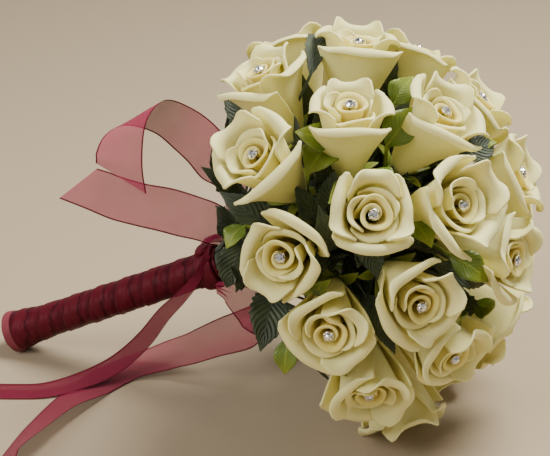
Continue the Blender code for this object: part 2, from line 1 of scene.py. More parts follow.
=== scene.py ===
"""The looks of a round posy of foam roses, lying on its side with its ribbon tails trailing.

Lengths are in metres and angles in degrees. A piece of the posy is worked out about the posy's own
axis, +Z from the handle's end to the top of the head, with its origin in the middle of the head, and
is laid down as its mesh is made. Ribbon tails are worked out in the table's frame instead.
"""
import math

import bpy
import numpy as np
from mathutils import Matrix, Vector


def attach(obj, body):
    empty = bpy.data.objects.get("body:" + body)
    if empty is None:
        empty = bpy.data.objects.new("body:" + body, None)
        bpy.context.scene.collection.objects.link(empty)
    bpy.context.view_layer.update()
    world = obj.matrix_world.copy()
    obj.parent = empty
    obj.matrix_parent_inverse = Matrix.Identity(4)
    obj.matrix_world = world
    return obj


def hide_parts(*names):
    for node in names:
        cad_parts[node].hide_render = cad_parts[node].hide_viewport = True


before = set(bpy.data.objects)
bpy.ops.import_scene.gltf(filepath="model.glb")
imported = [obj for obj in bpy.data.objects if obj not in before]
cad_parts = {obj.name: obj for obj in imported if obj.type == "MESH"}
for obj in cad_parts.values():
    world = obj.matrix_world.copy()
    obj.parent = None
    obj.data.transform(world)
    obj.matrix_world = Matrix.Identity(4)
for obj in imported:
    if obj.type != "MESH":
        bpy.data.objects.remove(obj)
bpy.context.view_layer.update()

# The wire stems. Each rose stands on a green plastic-covered wire, which runs from the binding
# under the head to a moulded cup, the calyx, with five sepals that hold the foam petals' feet.
MM = 0.001
TILT = 25.8
HEAD = np.array([0.0590, 0.0246, 0.1109])
LAID_DOWN = np.array([[-math.sin(math.radians(TILT)), 0, math.cos(math.radians(TILT))],
                      [0, -1, 0],
                      [math.cos(math.radians(TILT)), 0, math.sin(math.radians(TILT))]])
# Each rose: its polar angle, turn about the posy's axis, size, the way that it faces and its lean.
ROSES = (
    (86, 15, 0.92, 245, 0), (58, 35, 0.90, 270, 16), (86, 47, 1.00, 300, 8), (85, 77, 0.90, 40, 0),
    (57, 74, 0.92, 250, 0), (82, 103, 0.94, 195, 0), (56, 110, 0.95, 180, 0), (31, 84, 1.02, 195, 0),
    (30, 27, 0.98, 270, 6), (60, 142, 0.96, 195, 0), (85, 132, 1.00, 210, 0), (6, -126, 0.96, 45, 0),
    (60, -2, 0.98, 290, 0), (27, 150, 0.94, 165, 0), (24, -33, 0.94, 305, 0), (88, -16, 0.92, 295, 0),
    (50, -32, 0.92, 300, 0), (89, 163, 1.10, 240, 0), (55, -179, 0.98, 35, 0), (50, -128, 1.00, 110, 0),
    (49, -80, 1.00, 170, 0), (89, -161, 1.12, 250, 0), (83, -123, 1.00, 320, 0), (83, -84, 1.00, 60, 0),
    (83, -48, 0.98, 130, 0),
)
HEART = 0.0475
FOOT_REACH = 0.060
BINDING = 0.075
STEM_RADIUS = 1.9 * MM
BOUND_RADIUS = 5.4 * MM
BUNDLE_RADIUS = 8.4 * MM
BUNDLE_END = 0.2250
STEM_SIDES = 10
STEM_BOW = 6 * MM
BOUND_LENGTH = 10 * MM
CALYX_DEPTH = 10 * MM
# Radii and heights over the rose's foot, in millimetres.
CALYX_PROFILE = ((1.9, -12), (2.3, -9.5), (3.2, -6.5), (4.4, -3.2), (5.3, -0.6), (5.5, 0.2), (4.9, -0.7))
SEPAL_LENGTH = 15.0 * MM
SEPAL_WIDTH = 7.0 * MM
SEPAL_FOOT = 5.1 * MM
SEPAL_THICKNESS = 0.7 * MM
FLUTES = 12
RIM = 0.3
STEM_GREEN = (0.11, 0.19, 0.025, 1)
STEM_YELLOW = (0.30, 0.34, 0.05, 1)


def unit(vector):
    """Vectors divided by their own lengths."""
    vector = np.asarray(vector, float)
    return vector / np.maximum(np.linalg.norm(vector, axis=-1, keepdims=True), 1e-12)


def together(*parts):
    """Arrays of coordinates, spread to one shape and put together as points."""
    return np.stack(np.broadcast_arrays(*parts), axis=-1)


def around(radius, angle, height):
    """Points about the Z axis: r cos a, r sin a and the height."""
    return together(radius * np.cos(angle), radius * np.sin(angle), height)


def whole_turn(sides):
    """Even angles once round, in radians."""
    return np.linspace(0, 2 * math.pi, sides, endpoint=False)


def on_head(polar, turn, reach=1.0):
    """A point in the posy's frame, from its polar angle, its turn and its distance."""
    p, t = math.radians(polar), math.radians(turn)
    return reach * np.array([math.sin(p) * math.cos(t), math.sin(p) * math.sin(t), math.cos(p)])


def ease(value, low, high):
    """0 below low and 1 above high, with a smooth cubic rise between them."""
    share = np.clip((value - low) / (high - low), 0, 1)
    return share * share * (3 - 2 * share)


def grid_faces(rows, columns, start=0, ring=False):
    """Quads of a grid whose normal is across its columns times along its rows."""
    index = start + np.arange(rows * columns).reshape(rows, columns)
    if ring:
        index = np.concatenate([index, index[:, :1]], axis=1)
    return together(index[:-1, :-1], index[:-1, 1:], index[1:, 1:], index[1:, :-1]).reshape(-1, 4)


def tube_faces(rings, sides):
    """The quads of a stack of rings, and one face over each end of it."""
    first = np.arange(sides)
    return [grid_faces(rings, sides, ring=True), np.array([first[::-1], (rings - 1) * sides + first])]


def sheet_skin(middle, thickness, uv, tone):
    """A closed sheet about a middle surface, with a rounded rim.

    Both faces lie half the thickness from it along its normal, and the rim's crest stands RIM
    times the thickness past its edge.
    """
    rows, columns = middle.shape[:2]
    normal = unit(np.cross(np.gradient(middle, axis=1), np.gradient(middle, axis=0)))
    half = thickness / 2
    index = np.arange(rows * columns).reshape(rows, columns)
    edge = np.concatenate([index[0], index[1:, -1], index[-1, -2::-1], index[-2:0:-1, 0]])
    within = np.concatenate([index[1], index[1:, -2], index[-2, -2::-1], index[-2:0:-1, 1]])
    flat, count = middle.reshape(-1, 3), rows * columns
    crest = flat[edge] + unit(flat[edge] - flat[within]) * RIM * thickness
    points = np.concatenate([(middle + normal * half).reshape(-1, 3),
                             (middle - normal * half).reshape(-1, 3), crest])
    front, after = edge, np.roll(edge, -1)
    top = 2 * count + np.arange(len(edge))
    top_after = np.roll(top, -1)
    quads = np.concatenate([
        grid_faces(rows, columns), grid_faces(rows, columns, count)[:, ::-1],
        together(front, top, top_after, after),
        together(top, front + count, after + count, top_after)])
    uv, tone = uv.reshape(-1, 2), tone.reshape(-1)
    return (points, [quads], np.concatenate([uv, uv, uv[edge]]),
            np.concatenate([tone, tone, tone[edge]]))


def tube_skin(path, radii, sides, tone=0.0):
    """A closed tube whose rings stand square to a path, each with its own radius."""
    path, radii = np.asarray(path, float), np.asarray(radii, float)
    ahead = unit(np.gradient(path, axis=0))
    whole = unit(path[-1] - path[0])
    level = unit(np.cross(ahead, np.eye(3)[np.argmin(np.abs(whole))]))
    other = np.cross(ahead, level)
    angle = whole_turn(sides)[None, :, None]
    rings = path[:, None] + radii[:, None, None] * (np.cos(angle) * level[:, None]
                                                    + np.sin(angle) * other[:, None])
    u, v = np.meshgrid(np.arange(sides) / sides, np.linspace(0, 1, len(path)))
    return (rings.reshape(-1, 3), tube_faces(len(path), sides), together(u, v).reshape(-1, 2),
            np.full(len(path) * sides, float(tone)))


def lathe_skin(profile, sides, axes, foot, tone=0.0):
    """A shape turned about a rose's axis from a profile of radii and heights over its foot."""
    radii, heights = np.array(profile).T * MM
    points, *rest = tube_skin(together(0, 0, heights), radii, sides, tone)
    return points @ axes + foot, *rest


def new_object(name, data):
    """An object of a mesh, a lamp or a camera, in the scene."""
    made = bpy.data.objects.new(name, data)
    bpy.context.scene.collection.objects.link(made)
    return made


def add_piece(name, skins, finish, replaced=(), laid=True):
    """One mesh from skins of points, faces, UVs and tones, which rides on the posy."""
    points = np.concatenate([skin[0] for skin in skins])
    if laid:
        points = points @ LAID_DOWN.T + HEAD
    starts = np.concatenate([[0], np.cumsum([len(skin[0]) for skin in skins])])
    faces = [face for skin, start in zip(skins, starts) for array in skin[1]
             for face in (array + start).tolist()]
    mesh = bpy.data.meshes.new(name)
    mesh.from_pydata(points.tolist(), [], faces)
    corners = np.empty(len(mesh.loops), dtype=np.int32)
    mesh.loops.foreach_get("vertex_index", corners)
    uv = np.concatenate([skin[2] for skin in skins])[corners]
    mesh.uv_layers.new(name="UVMap").data.foreach_set("uv", uv.astype(np.float32).ravel())
    tone = mesh.attributes.new("tone", "FLOAT", "POINT")
    tone.data.foreach_set("value", np.concatenate([skin[3] for skin in skins]).astype(np.float32))
    mesh.materials.append(finish)
    mesh.shade_smooth()
    piece = new_object(name, mesh)
    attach(piece, "root")
    if replaced:
        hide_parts(*replaced)
    return piece


def new_finish(name):
    """A material, its node tree and its Principled shader."""
    finish = bpy.data.materials.new(name)
    finish.use_nodes = True
    return finish, finish.node_tree, finish.node_tree.nodes["Principled BSDF"]


def node(tree, kind, inputs=None, **settings):
    """Add a shader node, and give its inputs values or links from other nodes' sockets."""
    made = tree.nodes.new("ShaderNode" + kind)
    for key, value in settings.items():
        setattr(made, key, value)
    connect(tree, made, inputs or {})
    return made


def connect(tree, made, inputs):
    """Give a node's inputs their values, or links where a value is another node's socket."""
    for key, value in inputs.items():
        if isinstance(value, bpy.types.NodeSocket):
            tree.links.new(value, made.inputs[key])
        else:
            made.inputs[key].default_value = value


def own_place(tree):
    """The place on the piece itself."""
    return node(tree, "TexCoord").outputs["Object"]


def tone_of(tree):
    """The piece's own tone, which its mesh carries."""
    return node(tree, "Attribute", attribute_name="tone").outputs["Fac"]


def noise(tree, scale, detail=2.0, roughness=0.5):
    """A cloudy pattern from 0 to 1."""
    return node(tree, "TexNoise", {"Vector": own_place(tree), "Scale": scale, "Detail": detail,
                                   "Roughness": roughness}).outputs["Fac"]


def maths(tree, operation, *values, **settings):
    """One operation on numbers and sockets."""
    return node(tree, "Math", dict(enumerate(values)), operation=operation, **settings).outputs[0]


def ramp(tree, factor, stops):
    """A colour ramp through stops of place and colour."""
    made = node(tree, "ValToRGB", {"Fac": factor})
    band = made.color_ramp
    while len(band.elements) < len(stops):
        band.elements.new(0.5)
    for element, (place, colour) in zip(band.elements, stops):
        element.position = place
        element.color = colour
    return made.outputs["Color"]


def bump(tree, height, distance, strength=1.0, below=None):
    """A bump of a height's pattern, on top of another bump where one is given."""
    inputs = {"Height": height, "Distance": distance, "Strength": strength}
    if below:
        inputs["Normal"] = below
    return node(tree, "Bump", inputs).outputs["Normal"]


def rose_frame(index):
    """A rose's axes in the posy's frame, up the dome, across and out, and its foot.

    It leans about its bud's heart, away from the side it faces.
    """
    polar, turn, _, facing, lean = ROSES[index]
    out, up = on_head(polar, turn), unit(on_head(polar - 90, turn))
    heart = out * (FOOT_REACH + HEART)
    f, a = math.radians(facing), math.radians(lean)
    back = -math.cos(f) * up - math.sin(f) * np.cross(out, up)
    out = math.cos(a) * out + math.sin(a) * back
    up = unit(up - out * (out @ up))
    return np.array([up, np.cross(out, up), out]), heart - out * HEART


def turned(points, degrees):
    """Points turned about the Z axis: x cos a - y sin a, x sin a + y cos a, z."""
    angle = math.radians(degrees)
    x, y, z = np.moveaxis(np.asarray(points, float), -1, 0)
    return together(x * math.cos(angle) - y * math.sin(angle), x * math.sin(angle) + y * math.cos(angle), z)


def stem_skin(index):
    """A wire from the binding to its rose's foot, with a slight bow towards the posy's top.

    Its way is the straight one plus STEM_BOW sin(pi s), along the share s of it, and its lower end
    stands straight down in the bundle.
    """
    polar, turn = ROSES[index][:2]
    axes, foot = rose_frame(index)
    bound = on_head(90, turn, BOUND_RADIUS * polar / 90) - [0, 0, BINDING - 3 * MM]
    top = foot - axes[2] * CALYX_DEPTH
    share = np.linspace(0, 1, 14)[:, None]
    way = bound + (top - bound) * share + np.array([0, 0, STEM_BOW]) * np.sin(np.pi * share)
    path = np.concatenate([[bound - [0, 0, BOUND_LENGTH]], way])
    return tube_skin(path, np.full(len(path), STEM_RADIUS), STEM_SIDES)


def calyx_skins(index):
    """The turned cup at a rose's foot, and five sepals that curve out from it.

    A sepal leans 30 degrees at its foot and 60 at its tip. Half of its width is
    SEPAL_WIDTH/2 sin(pi (0.18 + 0.82 s))^0.7 along its length s, and it cups inwards by 0.35 of it.
    """
    axes, foot = rose_frame(index)
    skins = [lathe_skin(CALYX_PROFILE, 20, axes, foot, tone=0.2)]
    u, s = np.meshgrid(np.linspace(-1, 1, 7), np.linspace(0, 1, 11))
    half = SEPAL_WIDTH / 2 * np.maximum(np.sin(np.pi * (0.18 + 0.82 * s)) ** 0.7, 0.03)
    lean = np.radians(30 + 30 * s)
    out = SEPAL_FOOT + s * SEPAL_LENGTH * np.sin(lean) - 0.35 * half * u ** 2
    middle = together(out, u * half, -1.2 * MM + s * SEPAL_LENGTH * np.cos(lean))
    for k in range(5):
        petal = turned(middle, ROSES[index][3] + 36 + k * 72) @ axes + foot
        skins.append(sheet_skin(petal, SEPAL_THICKNESS, together(u / 2 + 0.5, s), 0.3 + 0.6 * s))
    return skins


def bundle_skin():
    """The wires below the binding, packed side by side into one bundle.

    Its radius grows from 0.55 to 0.98 of BUNDLE_RADIUS over its top 8 mm, and each wire stands
    proud of the grooves beside it by a flute of 1 - 0.045 |sin(a FLUTES / 2)|.
    """
    depth = np.linspace(BINDING - 12 * MM, BUNDLE_END, 40)
    radius = BUNDLE_RADIUS * (0.55 + 0.43 * ease(depth, BINDING - 12 * MM, BINDING - 4 * MM))
    points, *rest = tube_skin(together(0, 0, -depth), radius, sides=96)
    flute = 1 - 0.045 * np.abs(np.sin(FLUTES / 2 * np.arctan2(points[:, 1], points[:, 0])))
    return points * together(flute, flute, 1), *rest


def moulded_green():
    """Moulded plastic foliage: mid green, yellower at the tips, with mottling and a satin shine."""
    finish, tree, shader = new_finish("moulded_green")
    mottled = maths(tree, "MULTIPLY", tone_of(tree), noise(tree, 130.0, 3.0))
    colour = ramp(tree, mottled, ((0.05, STEM_GREEN), (0.55, STEM_YELLOW)))
    connect(tree, shader, {"Base Color": colour, "Roughness": 0.42,
                           "Normal": bump(tree, noise(tree, 1400.0), 0.00008, 0.5)})
    return finish


green = moulded_green()
stem_skins = [bundle_skin()]
for number in range(len(ROSES)):
    stem_skins.append(stem_skin(number))
    stem_skins += calyx_skins(number)
add_piece("wire_stems", stem_skins, green, ["stems"])

# The bright leaves. Smooth soft plastic leaves, moulded with the calyxes, that stand between the
# roses. They are olive green, paler along the rib, and their tips have a yellow cast.
BRIGHT_THICKNESS = 0.6 * MM
BRIGHT_STALK = (1.5, 1.2, 1.0, 0.4)
OLIVE = (0.085, 0.15, 0.012, 1)
LIME = (0.27, 0.33, 0.035, 1)
# Each leaf: the number of the rose that it grows by, the polar angle, turn and distance of its tip
# and then of its foot, and its width. Distances are in millimetres.
BRIGHT_LEAVES = (
    (2, 74, 41, 101, 65, 43, 88, 15), (2, 73, 54, 92, 65, 41, 80, 20), (9, 41, 6, 103, 43, 14, 88, 15),
    (9, 37, 24, 100, 44, 41, 84, 18), (5, 48, 67, 100, 51, 56, 90, 11), (5, 68, 66, 97, 60, 60, 86, 11),
    (8, 44, 95, 101, 43, 84, 88, 15), (8, 36, 134, 103, 36, 113, 88, 16), (6, 75, 89, 98, 84, 92, 88, 8),
    (6, 87, 123, 101, 89, 120, 90, 10), (6, 108, 120, 97, 103, 110, 84, 13),
    (11, 92, 156, 101, 95, 155, 90, 10), (7, 55, 126, 102, 48, 147, 90, 10),
    (4, 110, 69, 88, 105, 62, 78, 13), (1, 79, -15, 104, 83, -13, 90, 10), (1, 101, -5, 103, 98, -6, 90, 9),
    (12, 9, 1, 105, 11, 9, 90, 11), (19, 44, 163, 99, 48, 172, 86, 13), (20, 35, -163, 99, 41, -148, 86, 14),
    (20, 30, -103, 99, 39, -113, 86, 14), (15, 41, -56, 99, 33, -48, 86, 14),
    (21, 68, -103, 99, 60, -94, 86, 14), (19, 76, -179, 99, 67, -179, 86, 13),
    (17, 69, -31, 99, 61, -31, 86, 13),
)


def leaf_grid(foot, tip, face, width, teeth=0, arch=0.14, wave=0.0, twist=0.0, phase=0.0):
    """The middle surface of a leaf and its UVs.

    The rib is an arc that stands arch times the length proud towards face. Half of the width is
    width/2 sin(pi t^0.8) along the length t, cut into teeth by a sawtooth that grows to 17% of it.
    The blade folds up by 0.22 of its half width, waves along its edges and twists to its tip.
    """
    foot, tip = np.asarray(foot, float), np.asarray(tip, float)
    length = np.linalg.norm(tip - foot)
    forward = (tip - foot) / length
    side = unit(np.cross(forward, face))
    face = np.cross(side, forward)
    rows = max(4 * teeth, 16) + 1
    t, u = np.meshgrid(np.linspace(0, 1, rows), np.linspace(-1, 1, 9), indexing="ij")
    half = width / 2 * np.sin(np.pi * np.clip(t, 0.02, 0.985) ** 0.8)
    if teeth:
        half = half * (1 - 0.17 * (1 - (t * teeth) % 1) * np.abs(u) ** 3)
    turn = np.radians(twist) * t
    rise = 0.22 * half * np.abs(u) ** 1.3 + wave * half * np.sin(2 * np.pi * (2.3 * t + phase)) * u ** 2
    across = u * half
    flat = across * np.cos(turn) - rise * np.sin(turn)
    lift = across * np.sin(turn) + rise * np.cos(turn) + arch * length * np.sin(np.pi * t)
    grid = (foot + t[..., None] * length * forward + flat[..., None] * side
            + lift[..., None] * face)
    return grid, together(u / 2 + 0.5, t)


def bright_leaf_skins(number, polar, turn, reach, foot_polar, foot_turn, foot_reach, width):
    """A leaf between two points of the head, faced outwards, and its stalk from a rose's foot.

    The stalk leaves the calyx on the leaf's side, bends out past the foot and ends in the rib.
    """
    axes, root = rose_frame(number - 1)
    foot, tip = on_head(foot_polar, foot_turn, foot_reach * MM), on_head(polar, turn, reach * MM)
    away = unit(foot - root - axes[2] * (axes[2] @ (foot - root)))
    grid, uv = leaf_grid(foot, tip, foot, width * MM, wave=0.10, twist=10, phase=polar / 37)
    start = root - axes[2] * 6 * MM + away * 2.5 * MM
    stalk = np.array([start, root + away * 9 * MM, foot, grid[2, 4]])
    return [tube_skin(stalk, np.array(BRIGHT_STALK) * MM, sides=8, tone=0.3),
            sheet_skin(grid, BRIGHT_THICKNESS, uv, uv[..., 1])]


def from_uv(tree):
    """The way across the piece and the way along it, from its UVs."""
    flat = node(tree, "SeparateXYZ", {"Vector": node(tree, "UVMap").outputs["UV"]})
    return flat.outputs["X"], flat.outputs["Y"]


def off_middle(tree, across):
    """How far a point lies off the middle line: |across - 1/2|."""
    return maths(tree, "ABSOLUTE", maths(tree, "SUBTRACT", across, 0.5))


def stretch(tree, value, low, high, start=0.0, end=1.0):
    """A value between low and high carried to start and end, and held there past them."""
    return node(tree, "MapRange", {"Value": value, "From Min": low, "From Max": high,
                                   "To Min": start, "To Max": end}).outputs["Result"]


def leaf_lines(tree, slope, waves, rib_width):
    """The way along a leaf, its rib, and its slanting veins, sin(waves (along + slope off))."""
    across, along = from_uv(tree)
    off = off_middle(tree, across)
    slant = maths(tree, "MULTIPLY_ADD", off, slope, along)
    veins = maths(tree, "SINE", maths(tree, "MULTIPLY", slant, waves))
    return along, stretch(tree, off, 0.0, rib_width, 1.0, 0.0), veins


def olive_leaf():
    """Soft leaf plastic: olive, with a paler rib, faint slanting veins and a lime tip."""
    finish, tree, shader = new_finish("olive_leaf")
    along, rib, veins = leaf_lines(tree, -0.7, 60.0, 0.07)
    pale = maths(tree, "MULTIPLY_ADD", rib, 0.4, maths(tree, "POWER", along, 3.0))
    pale = maths(tree, "MULTIPLY_ADD", noise(tree, 90.0, 4.0), 0.45, pale)
    colour = ramp(tree, pale, ((0.15, OLIVE), (0.95, LIME)))
    connect(tree, shader, {"Base Color": colour, "Roughness": 0.38,
                           "Normal": bump(tree, rib, 0.0002, 0.7, bump(tree, veins, 0.00012, 0.5))})
    return finish


bright_skins = [skin for leaf in BRIGHT_LEAVES for skin in bright_leaf_skins(*leaf)]
add_piece("bright_leaves", bright_skins, olive_leaf())

# The roses. Each is built of thin sheets of soft closed-cell foam: a strip rolled into a bud,
# three cupped petals round it, and four broad ones that make a cup with straight rolled lips.
# Where roses crowd each other their petals press flat, half-way between them.
PETAL_THICKNESS = 1.2 * MM
PETAL_TUCK = 1.3
OUTER_COUNT = 4
MIDDLE_COUNT = 3
# Each petal: its foot's radius and height, its length, its lean, its roll and where along it the roll
# starts, half of its width at the foot, where it lies over and where it lies under its neighbour at
# the lip, and how much straighter it is there. Lengths are in millimetres.
OUTER_PETAL = (4.5, 0.0, 58.0, 17.0, 150.0, 0.87, 6.5, 25.0, 19.0, 2.5)
MIDDLE_PETAL = (5.2, 16.0, 35.5, 12.5, 90.0, 0.85, 8.0, 17.5, 14.5, 0.3)
MIDDLE_REACH = (12.2, 2.0)
BUD_INNER = 2.3
BUD_OUTER = 8.8
BUD_ASIDE = 0.7
BUD_NARROWS = 0.34
BUD_TURNS = 1.6
BUD_LOW = 30.0
BUD_TOP = (43.6, 46.0)
BUD_ROLL = (3.5, 82.0)
BUD_ROLL_START = 0.3
BUD_FALL = (11.0, 0.22)
CELL_NEAR = 0.3
CELL_MARGIN = 1.0 * MM
CELL_SOFTNESS = 3.0 * MM
COLLAR_POLAR = 104.0
TABLE_MARGIN = 0.75 * MM
TABLE_SOFTNESS = 2.0 * MM
TABLE_DEPTH = 2.75 * MM
PETAL_ORDER = (3, 1, 0, 2)
# The least and most of a petal's wave, of its lean, of its roll and of its lip's height.
PETAL_MOODS = ((0, -2.5, -15, -1.0), (6.3, 2.5, 25, 1.0))
# The foam's yellows from the lips down. The darkest, deep in the cup, is partly painted shade.
CREAM = (0.88, 0.82, 0.36, 1)
BUTTER = (0.88, 0.80, 0.30, 1)
HONEY_AND_SHADE = (0.80, 0.66, 0.16, 1)


def press_into_cell(points, index):
    """Press petals that reach a neighbour or the table back to their own side of it.

    Inside the soft depth d the distance s to the half-way plane becomes m + k e^((s - d) / k), and
    so does the height over the table. A neighbour counts where the cosine of the angle between
    the two roses is CELL_NEAR or more.
    """
    polar, turn = ROSES[index][:2]
    mine = on_head(polar, turn)
    others = [on_head(*rose[:2]) for k, rose in enumerate(ROSES) if k != index]
    others.append(on_head(2 * COLLAR_POLAR - polar, turn))
    depth = CELL_MARGIN + CELL_SOFTNESS
    for _ in range(2):
        for other in others:
            if other @ mine < CELL_NEAR:
                continue
            normal = unit(other - mine)
            inside = -(points @ normal)
            pressed = CELL_MARGIN + CELL_SOFTNESS * np.exp((inside - depth) / CELL_SOFTNESS)
            points = points - np.where(inside < depth, pressed - inside, 0)[..., None] * normal
    height = points @ LAID_DOWN[2] + HEAD[2]
    pressed = TABLE_MARGIN + TABLE_SOFTNESS * np.exp((height - TABLE_DEPTH) / TABLE_SOFTNESS)
    rise = np.where(height < TABLE_DEPTH, pressed - height, 0)
    return points + rise[..., None] * LAID_DOWN[2]


def petal_surface(form, size, facing, over, moods):
    """The middle surface of a petal about its rose's axis, its UVs and how deep it lies.

    Its line leaves the foot at the lean, straightens, and from the roll's start to the lip turns
    outwards evenly: its angle from the axis is lean (1 - s / 4) + roll w. Across its width it bends on
    a radius r (1 + flat s^3), round at the foot and nearly straight at the lip. An end that lies
    over its neighbour is wide and fully rolled, and one that lies under it is narrower, unrolled,
    and set in along the normal by PETAL_TUCK.
    """
    foot_radius, foot_height, length, lean, roll, start, foot_half, wide, narrow, flat = form
    u = np.concatenate([[-1, -0.95], np.linspace(-0.85, 0.85, 15), [0.95, 1]])[None, :]
    rows = np.concatenate([np.linspace(0, start, 10), np.linspace(start, 1, 15)[1:]])[:, None]
    s = rows * (1 - 0.085 * ease(np.abs(u), 0.7, 1) ** 1.3 - 0.006 * np.sin(5 * u + moods[0]))
    left, right = ease(-u, 0.1, 0.85), ease(u, 0.1, 0.85)
    under = left * (1 - over[0]) + right * (1 - over[1])
    above = left * over[0] + right * over[1]
    middle_s, step = (s[1:] + s[:-1]) / 2, np.diff(s, axis=0) * length * size
    rolled = np.clip((middle_s - start) / (1 - start), 0, 1)
    angle = np.radians((lean + moods[1]) * (1 - middle_s / 4)
                       + (roll + moods[2]) * rolled * (1 - 0.85 * under + 0.12 * above))
    zero = np.zeros((1, s.shape[1]))
    radius = foot_radius + np.concatenate([zero, np.cumsum(np.sin(angle) * step, axis=0)])
    height = foot_height + np.concatenate([zero, np.cumsum(np.cos(angle) * step, axis=0)])
    bend = radius * (1 + flat * s ** 3 * (1 - under))
    reach = np.where(u < 0, np.where(over[0], wide, narrow), np.where(over[1], wide, narrow))
    half = foot_half + (reach - foot_half) * s ** 0.8
    turn = u * half * size / bend
    out = radius - bend * (1 - np.cos(turn))
    lip = np.clip((s - 0.5) / 0.5, 0, 1) ** 2
    rise = height + lip * (0.6 * np.sin(3.1 * u + moods[0]) + moods[3] - 1.5 * above * np.abs(u))
    grid = together(out, bend * np.sin(turn), rise)
    normal = unit(np.cross(np.gradient(grid, axis=1), np.gradient(grid, axis=0)))
    shift = PETAL_TUCK * (above - under) * ease(s, 0.02, 0.25)
    grid = grid + normal * shift[..., None]
    return turned(grid, facing), together(u / 2 + 0.5, s), 1 - ease(s, 0.45, 0.9)


def hold_inside(grid, limit, soft):
    """Points further than the limit from the axis come back towards it, by soft (1 - e^(-d / soft))."""
    away = np.linalg.norm(grid[..., :2], axis=-1, keepdims=True)
    past = np.maximum(away - limit, 0)
    held = np.minimum(away, limit) + soft * (1 - np.exp(-past / soft))
    return np.concatenate([grid[..., :2] * held / away, grid[..., 2:]], axis=-1)


def bud_surface(spin):
    """The bud's middle surface: a strip wound outwards from BUD_INNER to BUD_OUTER in BUD_TURNS.

    It stands up to heights that rise from the first of BUD_TOP to the second, and there its lip
    turns outwards evenly, over the length and through the angle of BUD_ROLL. Its wall narrows by
    BUD_NARROWS downwards, and its turns lie BUD_ASIDE off the pin by the end, which slopes down
    by the millimetres of BUD_FALL over its share of a turn.
    """
    theta, v = np.meshgrid(np.linspace(0, 1, 84), np.linspace(0, 1, 17))
    wound = theta * BUD_TURNS * 2 * math.pi
    upright = np.minimum(v / BUD_ROLL_START, 1)
    rolled = np.clip((v - BUD_ROLL_START) / (1 - BUD_ROLL_START), 0, 1)
    full = math.radians(BUD_ROLL[1]) * (0.55 + 0.45 * ease(theta, 0, 0.3)) * (1 - 0.5 * ease(theta, 0.85, 1))
    lip = BUD_ROLL[0] * (0.7 + 0.3 * ease(theta, 0, 0.4))
    curl = lip / full
    top = BUD_TOP[0] + (BUD_TOP[1] - BUD_TOP[0]) * theta ** 0.7 + 0.6 * np.sin(wound * 1.3)
    top = top - BUD_FALL[0] * ease(theta, 1 - BUD_FALL[1] / BUD_TURNS, 1) ** 1.5
    wall = BUD_INNER + (BUD_OUTER - BUD_INNER) * theta
    wall = wall * (1 - BUD_NARROWS * (1 - upright))
    radius = (wall + curl * (1 - np.cos(full * rolled))) * (1 + 0.09 * theta * np.cos(3 * wound))
    height = BUD_LOW + (top - BUD_LOW) * upright + curl * np.sin(full * rolled)
    grid = around(radius, wound, height) + together(BUD_ASIDE * theta, 0, 0)
    return turned(grid, spin), together(theta, v), 1 - 0.5 * v


def rose_skins(index):
    """All the sheets of one rose, pressed into its place among the others.

    Each kind of petal starts at its own turn, and has its own warmth and its own rise of it deep in the
    cup, which is partly painted shade. A petal lies over each neighbour that comes before it in
    PETAL_ORDER, and the later it comes the lower is its lip.
    """
    size, spin = ROSES[index][2:4]
    axes, foot = rose_frame(index)
    # Each sheet's last number deepens its tone down in the cup: partly a warmer yellow, partly painted
    # shade.
    sheets = [(*bud_surface(spin + 60), 0.28, 0.6)]
    for form, count, first, warm, cup_tint_and_shade in ((MIDDLE_PETAL, MIDDLE_COUNT, 22, 0.12, 0.6),
                                           (OUTER_PETAL, OUTER_COUNT, 0, 0.0, 0.28)):
        order = PETAL_ORDER[:count]
        for k in range(count):
            over = (order[k] > order[k - 1], order[k] > order[(k + 1) % count])
            moods = draw.uniform(*PETAL_MOODS)
            moods[3] += 0.8 - 0.5 * order[k]
            facing = spin + first + k * 360 / count
            grid, uv, deep = petal_surface(form, size, facing, over, moods)
            if form is MIDDLE_PETAL:
                grid = hold_inside(grid, *MIDDLE_REACH)
            sheets.append((grid, uv, deep, warm, cup_tint_and_shade))
    return [sheet_skin(press_into_cell(grid * MM @ axes + foot, index), PETAL_THICKNESS, uv,
                       warm + cup_tint_and_shade * deep) for grid, uv, deep, warm, cup_tint_and_shade in sheets]


def soft_foam():
    """Dyed closed-cell foam: matte cream lips, deeper yellow down in the cup that is partly painted shade,
    fine grained.
    """
    finish, tree, shader = new_finish("soft_foam")
    # The tone carries warmth and painted shade: the foam turns a darker yellow further down in the cup.
    depth = maths(tree, "MULTIPLY_ADD", noise(tree, 45.0), 0.35, tone_of(tree))
    colour = ramp(tree, depth, ((0.18, CREAM), (0.55, BUTTER), (1.0, HONEY_AND_SHADE)))
    dents = bump(tree, noise(tree, 260.0, 3.0), 0.0004, 0.35)
    connect(tree, shader, {"Base Color": colour, "Roughness": 0.72,
                           "Normal": bump(tree, noise(tree, 2200.0), 0.00008, 0.5, dents),
                           "Subsurface Weight": 0.22, "Subsurface Scale": 0.005,
                           "Subsurface Radius": (1.0, 0.75, 0.4), "Sheen Weight": 0.08})
    return finish


foam = soft_foam()
draw = np.random.default_rng(25)
for number in range(len(ROSES)):
    add_piece(f"foam_rose_{number + 1:02d}", rose_skins(number), foam,
              [f"rose_{number + 1:02d}"])

# The pins. A pin through each bud's heart carries a cut crystal in a turned silver cup, whose
# claws fold over the stone's girdle. The crystal is foiled behind, so its facets flash, and painted
# glints and dark reflections in its colour add to the flashes.
CUP_PROFILE = ((0.7, 25.6), (0.7, 45.6), (1.6, 46.0), (2.7, 46.9), (3.0, 47.7), (2.8, 47.9), (2.2, 47.3))
STONE_RINGS = ((2.75, 47.3, 0.5), (2.75, 47.75, 0.5), (2.25, 48.55, 0.0), (1.45, 49.35, 0.5))
